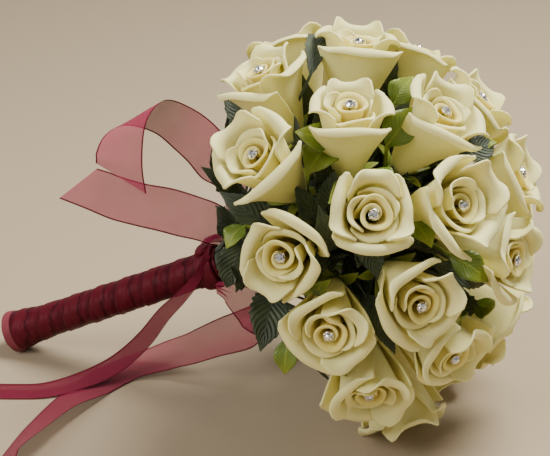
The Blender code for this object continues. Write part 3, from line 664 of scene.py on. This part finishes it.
# Eight faces round the girdle, two rings of sixteen triangles, and the two ends.
STONE_FACES = 8 + 2 * 16 + 2
CLAW_LINE = ((3.0, 0, 47.2), (3.0, 0, 48.0), (2.55, 0, 48.5), (2.2, 0, 48.75))
CLAW_RADII = (0.45, 0.42, 0.36, 0.2)
SILVER = (0.80, 0.80, 0.82, 1)
STONE = (0.93, 0.95, 1.0, 1)


def stone_skin(axes, foot):
    """Eight-sided rings, each half a side on from the last, joined by triangles, and a flat table."""
    k = np.arange(8)
    rings = [around(radius, (k + shift) * math.pi / 4, height) for radius, height, shift in STONE_RINGS]
    points = np.concatenate(rings) * MM @ axes + foot
    after = (k + 1) % 8
    faces = [together(k, after, 8 + after, 8 + k)]
    for low, high, shift in ((8, 16, 1), (16, 24, 0)):
        a, b, c, d = low + k, low + after, high + k, high + after
        faces += [together(a, b, d if shift else c), together(*((a, d, c) if shift else (b, d, c)))]
    faces += [k[None, ::-1], (24 + k)[None]]
    return points, faces, np.zeros((32, 2)), np.zeros(32)


def claw_skins(axes, foot):
    """Four short claws from the cup's lip over the girdle."""
    return [tube_skin(turned(np.array(CLAW_LINE) * MM, 22.5 + 90 * k) @ axes + foot,
                      np.array(CLAW_RADII) * MM, sides=6) for k in range(4)]


def silver_cup():
    """Bright silver plate, worn a little unevenly."""
    finish, tree, shader = new_finish("silver_cup")
    rough = stretch(tree, noise(tree, 900.0, 3.0), 0.0, 1.0, 0.14, 0.34)
    connect(tree, shader, {"Base Color": SILVER, "Metallic": 1.0, "Roughness": rough})
    return finish


def foiled_crystal():
    """Foil-backed cut glass, with painted glints and dark reflections: its colour is bright or dark cell by
    cell.
    """
    finish, tree, shader = new_finish("foiled_crystal")
    # Painted glints and dark reflections: cells of the crystal's colour go bright or dark.
    cells = node(tree, "TexVoronoi", {"Vector": own_place(tree), "Scale": 1000.0}).outputs["Color"]
    painted_flash = node(tree, "SeparateColor", {"Color": cells}).outputs["Red"]
    colour = ramp(tree, painted_flash, ((0.1, (0.10, 0.10, 0.12, 1)), (0.5, STONE)))
    connect(tree, shader, {"Base Color": colour, "Metallic": 0.85, "Roughness": 0.06,
                           "Coat Weight": 1.0, "Coat Roughness": 0.03})
    return finish


silver, crystal = silver_cup(), foiled_crystal()
for number in range(len(ROSES)):
    axes, foot = rose_frame(number)
    skins = [lathe_skin(CUP_PROFILE, 16, axes, foot), *claw_skins(axes, foot), stone_skin(axes, foot)]
    pin = add_piece(f"crystal_pin_{number + 1:02d}", skins, silver, [f"pin_{number + 1:02d}"])
    pin.data.materials.append(crystal)
    polygons = pin.data.polygons
    on_stone = np.arange(len(polygons)) >= len(polygons) - STONE_FACES
    polygons.foreach_set("material_index", on_stone.astype(np.int32))
    polygons.foreach_set("use_smooth", ~on_stone)

# The dark leaves. Toothed rose leaves of printed cloth, stiffened with wire, in three sprays
# bound round the stems. Most form a collar behind the lowest roses, some stand between roses.
CLOTH_THICKNESS = 0.45 * MM
LEAF_TEETH = 9
SPRAY_SPAN = 120
SPRAY_MARGIN = 8
GAP_STEM = (20 * MM, 56 * MM)
STALK_RADIUS = 0.8 * MM
BAND_WIDTH = 4.2 * MM
BAND_THICKNESS = 1.4 * MM
SPRUCE = (0.018, 0.034, 0.016, 1)
MOSS = (0.060, 0.085, 0.035, 1)
VEIN = (0.10, 0.13, 0.08, 1)
# Each leaf: the polar angle, turn and distance of its tip and of its foot, and its width. Those of the
# collar reach further and less far by turns, and two on the near side are short.
COLLAR_COUNT = 14
COLLAR_LEAVES = tuple(
    (106 if k % 2 else 110, 3 + k * 360 / COLLAR_COUNT, 84 if k in (4, 5) else 95 if k % 2 else 89,
     128, 3 + k * 360 / COLLAR_COUNT, 54, 21) for k in range(COLLAR_COUNT)
)
GAP_LEAVES = (
    (109, -1, 98, 111, -1, 68, 17), (111, 38, 96, 122, 34, 62, 15), (77, -13, 107, 71, 16, 100, 13),
    (52, -18, 103, 55, -26, 70, 13), (71, 66, 97, 75, 84, 66, 17), (71, 125, 99, 70, 113, 66, 17),
    (54, 172, 103, 52, 176, 70, 17), (108, 48, 88, 100, 68, 58, 20), (121, 84, 84, 110, 67, 76, 22),
    (62, 100, 84, 58, 80, 68, 18), (64, 52, 84, 70, 66, 66, 18),
    (111, 108, 96, 114, 96, 64, 24), (73, 46, 92, 66, 48, 62, 17), (36, 154, 93, 42, 112, 84, 16),
    (9, -15, 102, 18, 42, 92, 16), (79, 54, 82, 76, 72, 62, 16), (88, 92, 80, 78, 80, 62, 15),
    (70, -142, 98, 78, -142, 70, 15), (69, -66, 98, 78, -66, 70, 15),
)


def dark_leaf_skins(leaf, start):
    """A toothed leaf, its wired rib and its stalk down to the binding.

    A leaf of the collar faces outwards. One in a gap faces the near upper side, or, at the back, a
    way 80 degrees on from its own, and its stalk comes up through the middle of the stems, by a
    point at the distances of GAP_STEM from the axis and below the head's middle.
    """
    tip_polar, turn, tip_reach, foot_polar, foot_turn, foot_reach, width = leaf
    foot = on_head(foot_polar, foot_turn, foot_reach * MM)
    tip = on_head(tip_polar, turn, tip_reach * MM)
    root_turn = start + np.clip((turn - start) % 360, SPRAY_MARGIN, SPRAY_SPAN - SPRAY_MARGIN)
    stalk = [on_head(90, root_turn, BUNDLE_RADIUS + 1.5 * MM) - [0, 0, BINDING - 1.5 * MM], foot]
    face = on_head(foot_polar + 60, turn)
    if leaf in GAP_LEAVES:
        face = on_head(60, 75 if -40 < turn < 180 else turn + 80)
        stalk.insert(1, on_head(90, turn, GAP_STEM[0]) - [0, 0, GAP_STEM[1]])
    grid, uv = leaf_grid(foot, tip, face, width * MM, LEAF_TEETH, wave=0.12, twist=8,
                         phase=turn / 77)
    rib = grid[::4, 4]
    path = np.concatenate([stalk, rib[1:-1]])
    taper = np.concatenate([np.full(len(stalk), 1.0), np.linspace(0.9, 0.35, len(rib) - 2)])
    return [tube_skin(path, STALK_RADIUS * taper, sides=7, tone=0.5),
            sheet_skin(grid, CLOTH_THICKNESS, uv, uv[..., 1])]


def binding_skin(first, last):
    """The taped band that a spray's stalks grow from, round its third of the bundle.

    It bulges by 0.5 mm sin(pi v) across its width v.
    """
    angle, v = np.meshgrid(np.radians(np.linspace(first, last, 20)), np.linspace(0, 1, 6))
    radius = BUNDLE_RADIUS + 1.6 * MM + 0.5 * MM * np.sin(math.pi * v)
    grid = around(radius, angle, BAND_WIDTH * v - BINDING - 1.3 * MM)
    return sheet_skin(grid, BAND_THICKNESS, together(angle, v), 0.2 + 0 * v)


def mixed_colour(tree, factor, first, second):
    """Two colours mixed by a factor, all the first at 0 and all the second at 1."""
    return node(tree, "Mix", {"Factor": factor, 6: first, 7: second}, data_type="RGBA").outputs[2]


def printed_leaf():
    """Printed cloth leaf: dark spruce with mossy patches, a pale rib and slanting veins."""
    finish, tree, shader = new_finish("printed_leaf")
    _, rib, swing = leaf_lines(tree, -0.75, 2 * math.pi * LEAF_TEETH, 0.04)
    lines = maths(tree, "MAXIMUM", stretch(tree, swing, 0.86, 1.0), rib)
    ground = ramp(tree, noise(tree, 70.0, 5.0), ((0.35, SPRUCE), (0.75, MOSS)))
    colour = mixed_colour(tree, maths(tree, "MULTIPLY", lines, 0.55), ground, VEIN)
    normal = bump(tree, noise(tree, 1800.0), 0.0001, 0.5, bump(tree, swing, 0.0004, 0.6))
    connect(tree, shader, {"Base Color": colour, "Roughness": 0.55, "Normal": normal,
                           "Sheen Weight": 0.15})
    return finish


spruce = printed_leaf()
for third in range(3):
    start = SPRAY_SPAN * third - 90
    leaf_skins = [binding_skin(start + 5, start + SPRAY_SPAN - 5)]
    for leaf in COLLAR_LEAVES + GAP_LEAVES:
        if (leaf[1] - start) % 360 < SPRAY_SPAN:
            leaf_skins += dark_leaf_skins(leaf, start)
    add_piece(f"dark_leaves_{third + 1}", leaf_skins, spruce,
              [f"leaf_spray_{third + 1}"])

# The filling leaves. Small dark leaves of the same cloth stand in every gap where three roses meet,
# and three more stand at each calyx, low between the roses, so that little bare wire shows.
FILL_SPOTS = 2400
FILL_COVER = 1.35
FILL_ANGLE = 12.5
FILL_FURTHEST = 24
FILL_APART = 9
FILL_FOOT = 46 * MM
FILL_TIP = 88 * MM
FILL_ROOT = (8 * MM, 55 * MM)
FILL_WIDTH = 13.0 * MM
FILL_STALK = 0.6 * MM
LOW_ROOT = 28 * MM
LOW_TURNS = np.array([0, 110, 235])
LOW_WIDTH = 27.0 * MM
# How far out and how far aside a low leaf has its foot, and then its tip.
LOW_ENDS = np.array([[34, 4], [70, 17]]) * MM


def gap_directions():
    """Directions on an even spiral over the head, where the nearest rose is a local furthest.

    The spiral covers the head from its top down to z = 1 - FILL_COVER, and turns by the golden angle.
    """
    k = np.arange(FILL_SPOTS)
    z = 1 - FILL_COVER * (k + 0.5) / FILL_SPOTS
    spots = around(np.sqrt(1 - z * z), k * math.pi * (3 - math.sqrt(5)), z)
    axes_out = np.array([on_head(*rose[:2]) for rose in ROSES])
    nearest = np.degrees(np.arccos(np.clip(spots @ axes_out.T, -1, 1))).min(axis=1)
    close = spots @ spots.T > math.cos(math.radians(FILL_APART))
    peak = nearest >= np.where(close, nearest[None, :], 0).max(axis=1)
    return spots[peak & (nearest > FILL_ANGLE) & (nearest < FILL_FURTHEST)]


def filling_leaf_skins(low, high, aside, width, root):
    """A small toothed leaf between two points, and its stalk from a root on the wires."""
    grid, uv = leaf_grid(low, high, aside, width, LEAF_TEETH - 3, arch=0.06, wave=0.10,
                         twist=24 * draw.random(), phase=draw.random())
    bend = (root + low) / 2 + aside * 2 * MM
    path = np.array([root, bend, low, grid[4, 4]])
    return [tube_skin(path, np.full(4, FILL_STALK), sides=6, tone=0.5),
            sheet_skin(grid, CLOTH_THICKNESS, uv, uv[..., 1])]


fill_skins = []
for direction in gap_directions():
    aside = unit(np.cross(direction, draw.normal(size=3)))
    high = direction * (FILL_TIP + 5 * MM * draw.random()) + aside * 2 * MM
    root = direction * FILL_ROOT[0] - [0, 0, FILL_ROOT[1]]
    fill_skins += filling_leaf_skins(direction * FILL_FOOT, high, aside, FILL_WIDTH, root)
for number in range(len(ROSES)):
    up, across, out = rose_frame(number)[0]
    for turn in np.radians(ROSES[number][3] + LOW_TURNS):
        aside = math.cos(turn) * up + math.sin(turn) * across
        low, high = LOW_ENDS @ [out, aside]
        fill_skins += filling_leaf_skins(low, high, aside, LOW_WIDTH, out * LOW_ROOT)
add_piece("filling_leaves", fill_skins, spruce)

# The wound ribbon. Sheer burgundy ribbon, 25 mm wide, is wound up the handle in eight turns that
# overlap by a quarter, pulled into fine folds, and its lowest edge stands past the stems' ends.
WRAP_TOP = BINDING + 3 * MM
HANDLE_END = 0.2295
WRAP_TURNS = 8
WRAP_RADIUS = 10.2 * MM
WRAP_END_RADIUS = 13.2 * MM
FLARE_LENGTH = 0.030
WRAP_STEP = 0.65 * MM
END_BAND = 5.0 * MM
WRAP_CLEAR = 0.05 * MM
WRAP_SIDES = 96
WRAP_ROWS = 240
# The mouth's radii and depths under the top, and the lip's shares of the last radius and depths.
WRAP_MOUTH = ((8.9 * MM, 2.0 * MM), (8.9 * MM, 0.0), (9.6 * MM, -0.3 * MM))
WRAP_LIP = ((0.97, 0.24 * MM), (0.86, 0.3 * MM), (0.84, -0.3 * MM), (0.82, -0.9 * MM), (0.3, -0.96 * MM))
# The claret serves both for thin layers of ribbon and as a painted red highlight.
WINE = (0.029, 0.0014, 0.0050, 1)
CLARET_AND_HIGHLIGHT = (0.085, 0.0050, 0.0120, 1)
SELVEDGE = (0.035, 0.002, 0.008, 1)
ROSEWOOD = (0.20, 0.042, 0.056, 1)


def wrap_skin():
    """The wound sleeve: each turn stands a step proud at its lower edge and thins upwards.

    The phase runs from 0 to 1 across a turn and goes down the handle as the angle grows. Folds are
    waves of the phase that wander with the angle. The sleeve ends in a rounded lip and a floor,
    and is flat where it rests on the table.
    """
    depth = np.linspace(WRAP_TOP, HANDLE_END, WRAP_ROWS)[:, None]
    angle = whole_turn(WRAP_SIDES)[None, :]
    pitch = (HANDLE_END - WRAP_TOP) / WRAP_TURNS
    phase = ((depth - WRAP_TOP) / pitch - angle / (2 * math.pi) + 0.5) % 1.0
    flare = np.maximum(0, (depth - (HANDLE_END - FLARE_LENGTH)) / FLARE_LENGTH) ** 1.5
    radius = WRAP_RADIUS + (WRAP_END_RADIUS - WRAP_RADIUS) * flare
    step = WRAP_STEP * (phase ** 1.6 - 0.5) * ease(1 - phase, 0, 0.025)
    step = step - WRAP_STEP * 0.5 * (1 - ease(1 - phase, 0, 0.025))
    folds = (0.11 * np.sin(14 * phase + 2.1 * np.sin(angle * 2 + depth * 90))
             + 0.06 * np.sin(37 * phase + 1.7 * np.sin(angle * 3 - depth * 140))) * MM
    wall = radius + step + folds * ease(1 - phase, 0.02, 0.15)
    mouth = [around(first, angle, -WRAP_TOP - drop) for first, drop in WRAP_MOUTH]
    lip = [around(wall[-1:] * share, angle, -HANDLE_END - drop) for share, drop in WRAP_LIP]
    rings = np.concatenate(mouth + [around(wall, angle, -depth)] + lip)
    under = np.maximum(WRAP_CLEAR - rings @ LAID_DOWN[2] - HEAD[2], 0)
    rings = rings + under[..., None] * LAID_DOWN[2]
    ends = ((len(mouth), len(lip)), (0, 0))
    across = np.pad(phase, ends, mode="edge")
    down = np.pad(depth + 0 * phase - WRAP_TOP, ends, mode="edge")
    uv = together(angle / (2 * math.pi), down).reshape(-1, 2)
    faces = [face[:, ::-1] for face in tube_faces(len(rings), WRAP_SIDES)]
    return rings.reshape(-1, 3), faces, uv, across.reshape(-1)


def threads(tree, distortion, **settings):
    """The fine waves of woven threads."""
    return node(tree, "TexWave", {"Vector": own_place(tree), "Scale": 900.0,
                                  "Distortion": distortion}, **settings).outputs["Fac"]


def wound_ribbon():
    """Layers of sheer ribbon: dark where they lie deep, claret where thin and as painted red highlights,
    with dark edges.
    """
    finish, tree, shader = new_finish("wound_ribbon")
    across = tone_of(tree)
    # A cloud blotches the bands across each turn: partly the ribbon's layers, partly painted red highlights.
    layering_and_highlight = maths(tree, "MULTIPLY_ADD", noise(tree, 75.0, 5.0, 0.65), 0.9, across)
    layers = ramp(tree, layering_and_highlight, ((0.35, WINE), (0.75, CLARET_AND_HIGHLIGHT), (0.95, WINE), (1.0, CLARET_AND_HIGHLIGHT)))
    edge = ramp(tree, across, ((0.0, (1, 1, 1, 1)), (0.03, (0, 0, 0, 1)), (0.955, (0, 0, 0, 1)),
                               (0.975, (1, 1, 1, 1))))
    at_end = maths(tree, "GREATER_THAN", from_uv(tree)[1], HANDLE_END - WRAP_TOP - END_BAND)
    colour = mixed_colour(tree, at_end, mixed_colour(tree, edge, layers, SELVEDGE), ROSEWOOD)
    crease = bump(tree, noise(tree, 320.0, 4.0), 0.0006, 0.5)
    normal = bump(tree, threads(tree, 0.6, bands_direction="DIAGONAL"), 0.00006, 0.4, crease)
    connect(tree, shader, {"Base Color": colour, "Roughness": 0.45, "Normal": normal,
                           "Specular IOR Level": 0.25, "Specular Tint": (1.0, 0.45, 0.5, 1)})
    return finish


add_piece("wound_handle", [wrap_skin()], wound_ribbon(), ["handle_wrap"])

# The knot. The same ribbon goes round the top of the handle, gathered into pleats, and is tied on
# the upper side, where the tails leave the knot's two ends.
KNOT_TOP = BINDING + 4.5 * MM
KNOT_END = BINDING + 15.5 * MM
KNOT_INNER = 11.25 * MM
KNOT_LIFT = 1.0 * MM
KNOT_LENGTH = 13.0 * MM
KNOT_THICKNESS = 2.9 * MM
KNOT_SIDES = 96
SHEER = (0.39, 0.035, 0.095, 1)
# The deeper sheer is painted shade for the tails that lie on the table.
SHEER_SHADED = (0.17, 0.012, 0.030, 1)
SHEER_EDGE = (0.085, 0.004, 0.012, 1)
GATHERED = (0.11, 0.0065, 0.017, 1)


def band_skin():
    """Pleated turns of ribbon round the handle: a rounded band with five ridges that wander.

    Its crown is 0.5 + 1.1 sin(pi v)^0.5 mm over KNOT_INNER across its width v, and the ridges add
    up to 0.35 mm. It falls to the handle at both edges.
    """
    angle, v = np.meshgrid(whole_turn(KNOT_SIDES), np.linspace(0, 1, 41))
    ridge = np.abs(np.sin(5 * math.pi * (v + 0.03 * np.sin(2 * angle + 1)))) ** 0.6
    crown = 0.5 * MM + 1.1 * MM * np.sin(math.pi * v) ** 0.5 + 0.35 * MM * ridge
    radius = KNOT_INNER + crown * ease(np.minimum(v, 1 - v), 0, 0.04) + 0.1 * MM
    outer = around(radius, angle, -KNOT_TOP - (KNOT_END - KNOT_TOP) * v)
    back = around(KNOT_INNER, angle[:1], -KNOT_END)
    rings = np.concatenate([outer, back, back + [0, 0, KNOT_END - KNOT_TOP]])
    first = np.arange(KNOT_SIDES)
    last = (len(rings) - 1) * KNOT_SIDES + first
    close = together(last, np.roll(last, -1), np.roll(first, -1), first)
    quads = np.concatenate([grid_faces(len(rings), KNOT_SIDES, ring=True), close])[:, ::-1]
    v = np.concatenate([v, v[-1:], v[:1]])
    uv = together(angle[:1], v).reshape(-1, 2)
    return rings.reshape(-1, 3), [quads], uv, v.reshape(-1)


def lump_skin():
    """The tied knot: a plump roll across the handle, radius ~ sin^0.6 along it, slanting pleats."""
    count, sides = 40, 64
    along = np.linspace(0, math.pi, count)[:, None]
    angle = whole_turn(sides)[None, :]
    pleat = 1 + 0.07 * np.sin(7 * angle + 3.0 * np.cos(along)) * np.sin(along)
    radius = np.maximum(KNOT_THICKNESS * np.sin(along) ** 0.6 * pleat, 0.15 * MM)
    place = together(KNOT_INNER + KNOT_LIFT + radius * np.cos(angle),
                     2 * MM + KNOT_LENGTH / 2 * np.cos(along),
                     1.25 * radius * np.sin(angle) - (KNOT_TOP + KNOT_END) / 2)
    uv = together(angle / (2 * math.pi), along / math.pi).reshape(-1, 2)
    return place.reshape(-1, 3), tube_faces(count, sides), uv, np.full(count * sides, 0.5)


def gathered_ribbon():
    """Sheer ribbon in many layers: no longer see-through, with a soft shine along the pleats."""
    finish, tree, shader = new_finish("gathered_ribbon")
    colour = ramp(tree, noise(tree, 220.0, 4.0), ((0.35, SHEER_EDGE), (0.7, GATHERED)))
    connect(tree, shader, {"Base Color": colour, "Roughness": 0.45,
                           "Specular IOR Level": 0.3, "Specular Tint": (1.0, 0.5, 0.55, 1),
                           "Normal": bump(tree, threads(tree, 0.8), 0.00006, 0.5)})
    return finish


add_piece("knot", [band_skin(), lump_skin()], gathered_ribbon(), ["ribbon_knot"])

# The ribbon tails. Four lengths of the same sheer ribbon leave the knot. Two are short: one rises,
# turns over and hangs, the other stands out level. Two trail over the table: one folded narrow.
RIBBON_WIDTH = 0.025
FOLDED_WIDTH = RIBBON_WIDTH / 2
RIBBON_THICKNESS = 0.25 * MM
CLEAR_OF_TABLE = 0.4 * MM
GATHER_LENGTH = 0.035
FOLDED_GATHER = 0.14
GATHER_SHARE = 0.3
PLEAT = 1.2 * MM
FOLD_GAP = 0.9 * MM
RIPPLE = 0.35 * MM
TAIL_ROWS = 150
TAIL_COLUMNS = 31
SLANT = 0.008
# Each row of EDGES: a point of either edge, to the right, up and nearer, from the head's middle. Each
# row of a ROUTE: a point from under it, and how upright the width lies. All in millimetres.
ARCH_EDGES = (
    (-72.3, -7, -35.5, -76.3, -10, -35.5), (-60, -1, -38, -66, -4, -38),
    (-53, 13, -42, -64, 7, -42), (-54.5, 30, -44, -69.5, 21, -44),
    (-62.5, 47, -44, -79.5, 27.5, -44), (-69.5, 56.5, -43, -87.5, 37, -43),
    (-78, 64, -42, -96.5, 45.5, -42), (-86.5, 69, -39, -104, 52, -39),
    (-94, 72, -34, -111.5, 55.5, -34), (-99, 72, -27, -120.5, 57.5, -29),
    (-102.5, 69, -18, -127.5, 56, -22), (-106.5, 63.5, -12, -132.5, 51.5, -15),
    (-109.5, 56, -9, -135.5, 46.5, -11), (-111, 45, -8, -137.5, 40.5, -9),
    (-111, 31, -7, -137.5, 38, -8), (-109, 17.5, -8, -137.5, 35, -8),
)
LEVEL_EDGES = (
    (-77, -8.5, -38.5, -80, -12.5, -38.5), (-70, -5, -44, -72.5, -10, -44),
    (-62.5, -4, -42, -66.5, -10.5, -42), (-59, -2.5, -35, -69.5, -12, -35),
    (-60.5, 4, -31, -76, -10.5, -31), (-68, 11.5, -30, -83, -8.5, -30),
    (-79, 16, -31, -92.5, -6.5, -31), (-95, 21, -33, -104, -3.5, -33),
    (-111.5, 24, -35, -117, -0.5, -35), (-125.5, 28, -37, -132, 3.5, -37),
    (-133.5, 31, -38, -146.5, 9.5, -38), (-140, 33, -40, -162, 15.5, -40),
)
NARROW_ROUTE = (
    (-75.5, -9.5, 86, 60), (-80.5, -15.5, 73, 80), (-90, -17, 60, 83), (-101, -17, 47, 80),
    (-112, -18, 31, 70), (-124.5, -20, 17, 54), (-136.5, -24.5, 8, 36), (-148.5, -34, 4, 20),
    (-163, -47, 2.5, 15), (-181, -54, 1.5, 14), (-200, -59, 1, 14), (-226, -64, 1, 14),
)
WIDE_ROUTE = (
    (-70.5, -9.5, 66, 70), (-62, -11, 64.5, 76), (-52, -8, 57, 76),
    (-46.5, -3, 48, 72), (-55, 3, 36.5, 60), (-74, 5, 26, 45), (-91, 5, 16.5, 30),
    (-108, 3, 9, 16), (-129, -8, 2, 4), (-139, -28, 0, 0), (-143, -45, 2, -8),
    (-146.5, -73, 5, -22), (-148, -106, 7.5, -35), (-148, -134, 8.5, -42), (-146, -146, 8.5, -42),
    (-144, -157, 8.5, -42),
)
AZIMUTH = 17.9
ELEVATION = 24.0
RIGHT = np.array([math.cos(math.radians(AZIMUTH)), math.sin(math.radians(AZIMUTH)), 0])
NEAR = (math.cos(math.radians(ELEVATION)) * np.array([RIGHT[1], -RIGHT[0], 0])
        + math.sin(math.radians(ELEVATION)) * np.array([0, 0, 1]))
ABOVE = np.cross(NEAR, RIGHT)


def gone_along(line):
    """How far each point of a line is along it."""
    return np.concatenate([[0], np.cumsum(np.linalg.norm(np.diff(line, axis=0), axis=1))])


def smooth_line(points, count):
    """Points spaced evenly along a smooth curve through the given ones.

    Between points b and c, with a before and d after, it is half of 2b + (c - a) t
    + (2a - 5b + 4c - d) t^2 + (3b - a - 3c + d) t^3.
    """
    points = np.asarray(points, float)
    padded = np.vstack([2 * points[0] - points[1], points, 2 * points[-1] - points[-2]])
    curve = []
    for k in range(len(points) - 1):
        a, b, c, d = padded[k:k + 4]
        t = np.linspace(0, 1, 24, endpoint=False)[:, None]
        curve.append(0.5 * (2 * b + (c - a) * t + (2 * a - 5 * b + 4 * c - d) * t ** 2
                            + (3 * b - a - 3 * c + d) * t ** 3))
    curve = np.concatenate(curve + [points[-1:]])
    gone = gone_along(curve[:, :3])
    wanted = np.linspace(0, gone[-1], count)
    return together(*(np.interp(wanted, gone, column) for column in curve.T))


def ribbon_grid(route, width, slant_end, pleat, folded=False):
    """A ribbon's middle surface along a route in the table's frame, its UVs and its length.

    The width lies across the route, level where the route's last value is 0 and upright where it
    is 90. It is gathered in pleats at the knot, which die out over GATHER_LENGTH, and its end is
    cut at a slant. A folded ribbon is doubled along its middle and opens over FOLDED_GATHER.
    """
    line = smooth_line(route, TAIL_ROWS)
    middle = line[:, :3] * MM
    lean = np.radians(line[:, 3])[:, None]
    along = unit(np.gradient(middle, axis=0))
    level = unit(np.cross(along, [0, 0, 1]))
    across = level * np.cos(lean) + np.cross(level, along) * np.sin(lean)
    facing = np.cross(along, across)
    gone = gone_along(middle)
    spread = np.clip(gone / (FOLDED_GATHER if folded else GATHER_LENGTH), 0, 1)[:, None]
    opened = GATHER_SHARE + (1 - GATHER_SHARE) * spread * (2 - spread)
    u = np.linspace(-1, 1, TAIL_COLUMNS)[None, :]
    if folded:
        side = (2 * np.abs(u) - 1) * width / 2 * opened
        proud = u * FOLD_GAP / 2 + 0 * opened
    else:
        side = u * width / 2 * opened
        proud = pleat * (1 - spread) * np.sin(3.5 * math.pi * u)
        proud = proud + RIPPLE * spread * np.sin(gone[:, None] * 95 + 2.2 * u)
    share = (gone / gone[-1])[:, None]
    slant = u * np.clip(6 * share - 5, 0, 1) ** 2 * slant_end
    grid = (middle[:, None] + side[..., None] * across[:, None] + proud[..., None] * facing[:, None]
            + slant[..., None] * along[:, None])
    lowest = grid[:, :, 2].min(axis=1, keepdims=True)
    grid[:, :, 2] += np.maximum(CLEAR_OF_TABLE - lowest, 0)
    return grid + [HEAD[0], HEAD[1], 0], together(u / 2 + 0.5, gone[:, None] / RIBBON_WIDTH), gone[-1]


def edged_grid(edges):
    """A ribbon's middle surface between its two edges, its UVs and its length.

    The edges are smooth lines through points that are given as seen from the near side, from the
    middle of the head. Near the knot the ribbon is drawn in pleats, and past it lies in ripples.
    """
    line = smooth_line(edges, TAIL_ROWS)
    u = np.linspace(0, 1, TAIL_COLUMNS)[None, :, None]
    grid = (line[:, None, :3] * (1 - u) + line[:, None, 3:] * u) * MM
    grid = grid @ np.array([RIGHT, ABOVE, NEAR])
    middle = grid[:, TAIL_COLUMNS // 2]
    gone = gone_along(middle)
    closed = 1 - np.clip(gone / GATHER_LENGTH, 0, 1)[:, None]
    facing = unit(np.cross(np.gradient(middle, axis=0), grid[:, -1] - grid[:, 0]))
    wave = (PLEAT * closed * np.sin(7 * math.pi * u[..., 0])
            + 0.3 * MM * (1 - closed) * np.sin(gone[:, None] * 85 + 4.4 * u[..., 0]))
    grid = grid + wave[..., None] * facing[:, None]
    return grid + HEAD, together(u[..., 0], gone[:, None] / RIBBON_WIDTH), gone[-1]


def sheer_ribbon():
    """Organza: fine threads that light shows through, deeper by the tail's tone, and a dark selvedge. The
    tone is painted shade on the two tails that trail over the table, and on the folded one also its
    doubling.
    """
    finish, tree, shader = new_finish("sheer_ribbon")
    across, along = from_uv(tree)
    edge = stretch(tree, off_middle(tree, across), 0.465, 0.475)
    weft, warp = (maths(tree, "SINE", maths(tree, "MULTIPLY", way, 400.0)) for way in (along, across))
    woven = maths(tree, "ADD", weft, warp)
    # The tone deepens the colour: painted shade on the trailing tails, with the folded one's doubling as
    # well.
    layers = ramp(tree, tone_of(tree), ((0.0, SHEER), (1.0, SHEER_SHADED)))
    thin = stretch(tree, woven, -2.0, 2.0, 0.36, 0.54)
    thin = maths(tree, "MULTIPLY_ADD", noise(tree, 60.0, 3.0), 0.10, thin)
    connect(tree, shader, {"Base Color": mixed_colour(tree, edge, layers, SHEER_EDGE),
                           "Alpha": maths(tree, "MULTIPLY_ADD", edge, 0.45, thin, use_clamp=True),
                           "Roughness": 0.5, "Specular IOR Level": 0.2,
                           "Specular Tint": (1.0, 0.6, 0.62, 1),
                           "Normal": bump(tree, woven, 0.00004, 0.4)})
    return finish


sheer = sheer_ribbon()
# Each tail's tone: the two that trail over the table are darkened as painted shade, the folded one also for
# its doubling.
for name, node_name, held, deep, laid_grid in (
        ("ribbon_arch", "tail_arch", "hung", 0.0, edged_grid(ARCH_EDGES)),
        ("ribbon_level", "tail_level", "hung", 0.0, edged_grid(LEVEL_EDGES)),
        ("ribbon_narrow", "tail_narrow", "folded", 0.75,
         ribbon_grid(NARROW_ROUTE, FOLDED_WIDTH, slant_end=0, pleat=0, folded=True)),
        ("ribbon_wide", "tail_wide", "laid", 0.35,
         ribbon_grid(WIDE_ROUTE, RIBBON_WIDTH, SLANT, PLEAT))):
    grid, uv, length = laid_grid
    tail = add_piece(name, [sheet_skin(grid, RIBBON_THICKNESS, uv, deep + 0 * uv[..., 0])], sheer,
                     [node_name], laid=False)

# The table, the light and the camera. The posy lies on a plain pale cloth-coloured floor, under a
# broad soft light from above, right and behind, with a weaker one in front on the left.
FLOOR = (0.40, 0.315, 0.212, 1)
FLOOR_SIZE = 6.0
DISTANCE = 1.0
ASIDE = -0.0364
RAISED = -0.0017
LENS = 116.9
LIT_SPOT = (0.02, 0, 0.08)
KEY_PLACE = (0.38, 0.40, 1.15)
FILL_PLACE = (-0.6, -1.0, 1.0)
ROOM = (0.90, 0.88, 0.85, 1)
ROOM_STRENGTH = 0.35


def pale_floor():
    """Matt pale cloth, a little clouded."""
    finish, tree, shader = new_finish("pale_floor")
    shade = (*(0.96 * c for c in FLOOR[:3]), 1)
    colour = ramp(tree, noise(tree, 3.0), ((0.3, shade), (0.7, FLOOR)))
    connect(tree, shader, {"Base Color": colour, "Roughness": 0.8})
    return finish


def add_light(name, place, size, power, colour):
    """A round soft lamp that looks at LIT_SPOT."""
    light = bpy.data.lights.new(name, "AREA")
    light.shape = "DISK"
    light.size = size
    light.energy = power
    light.color = colour
    lamp = new_object(name, light)
    lamp.location = place
    lamp.rotation_euler = (Vector(LIT_SPOT) - Vector(place)).to_track_quat("-Z", "Y").to_euler()


half = FLOOR_SIZE / 2
floor_mesh = bpy.data.meshes.new("floor")
floor_mesh.from_pydata([(-half, -half, 0), (half, -half, 0), (half, half, 0), (-half, half, 0)], [],
                       [(0, 1, 2, 3)])
floor_mesh.materials.append(pale_floor())
new_object("floor", floor_mesh)

add_light("key", KEY_PLACE, size=0.7, power=30, colour=(1.0, 0.97, 0.90))
add_light("fill", FILL_PLACE, size=1.0, power=15.5, colour=(1.0, 0.96, 0.90))
world = bpy.data.worlds.new("soft_room")
world.use_nodes = True
room_light = world.node_tree.nodes["Background"].inputs
room_light["Color"].default_value = ROOM
room_light["Strength"].default_value = ROOM_STRENGTH
bpy.context.scene.world = world

camera = new_object("camera", bpy.data.cameras.new("camera"))
camera.data.lens = LENS
camera.location = HEAD + NEAR * DISTANCE + RIGHT * ASIDE + ABOVE * RAISED
camera.rotation_euler = Matrix((RIGHT, ABOVE, NEAR)).transposed().to_euler()
bpy.context.scene.camera = camera
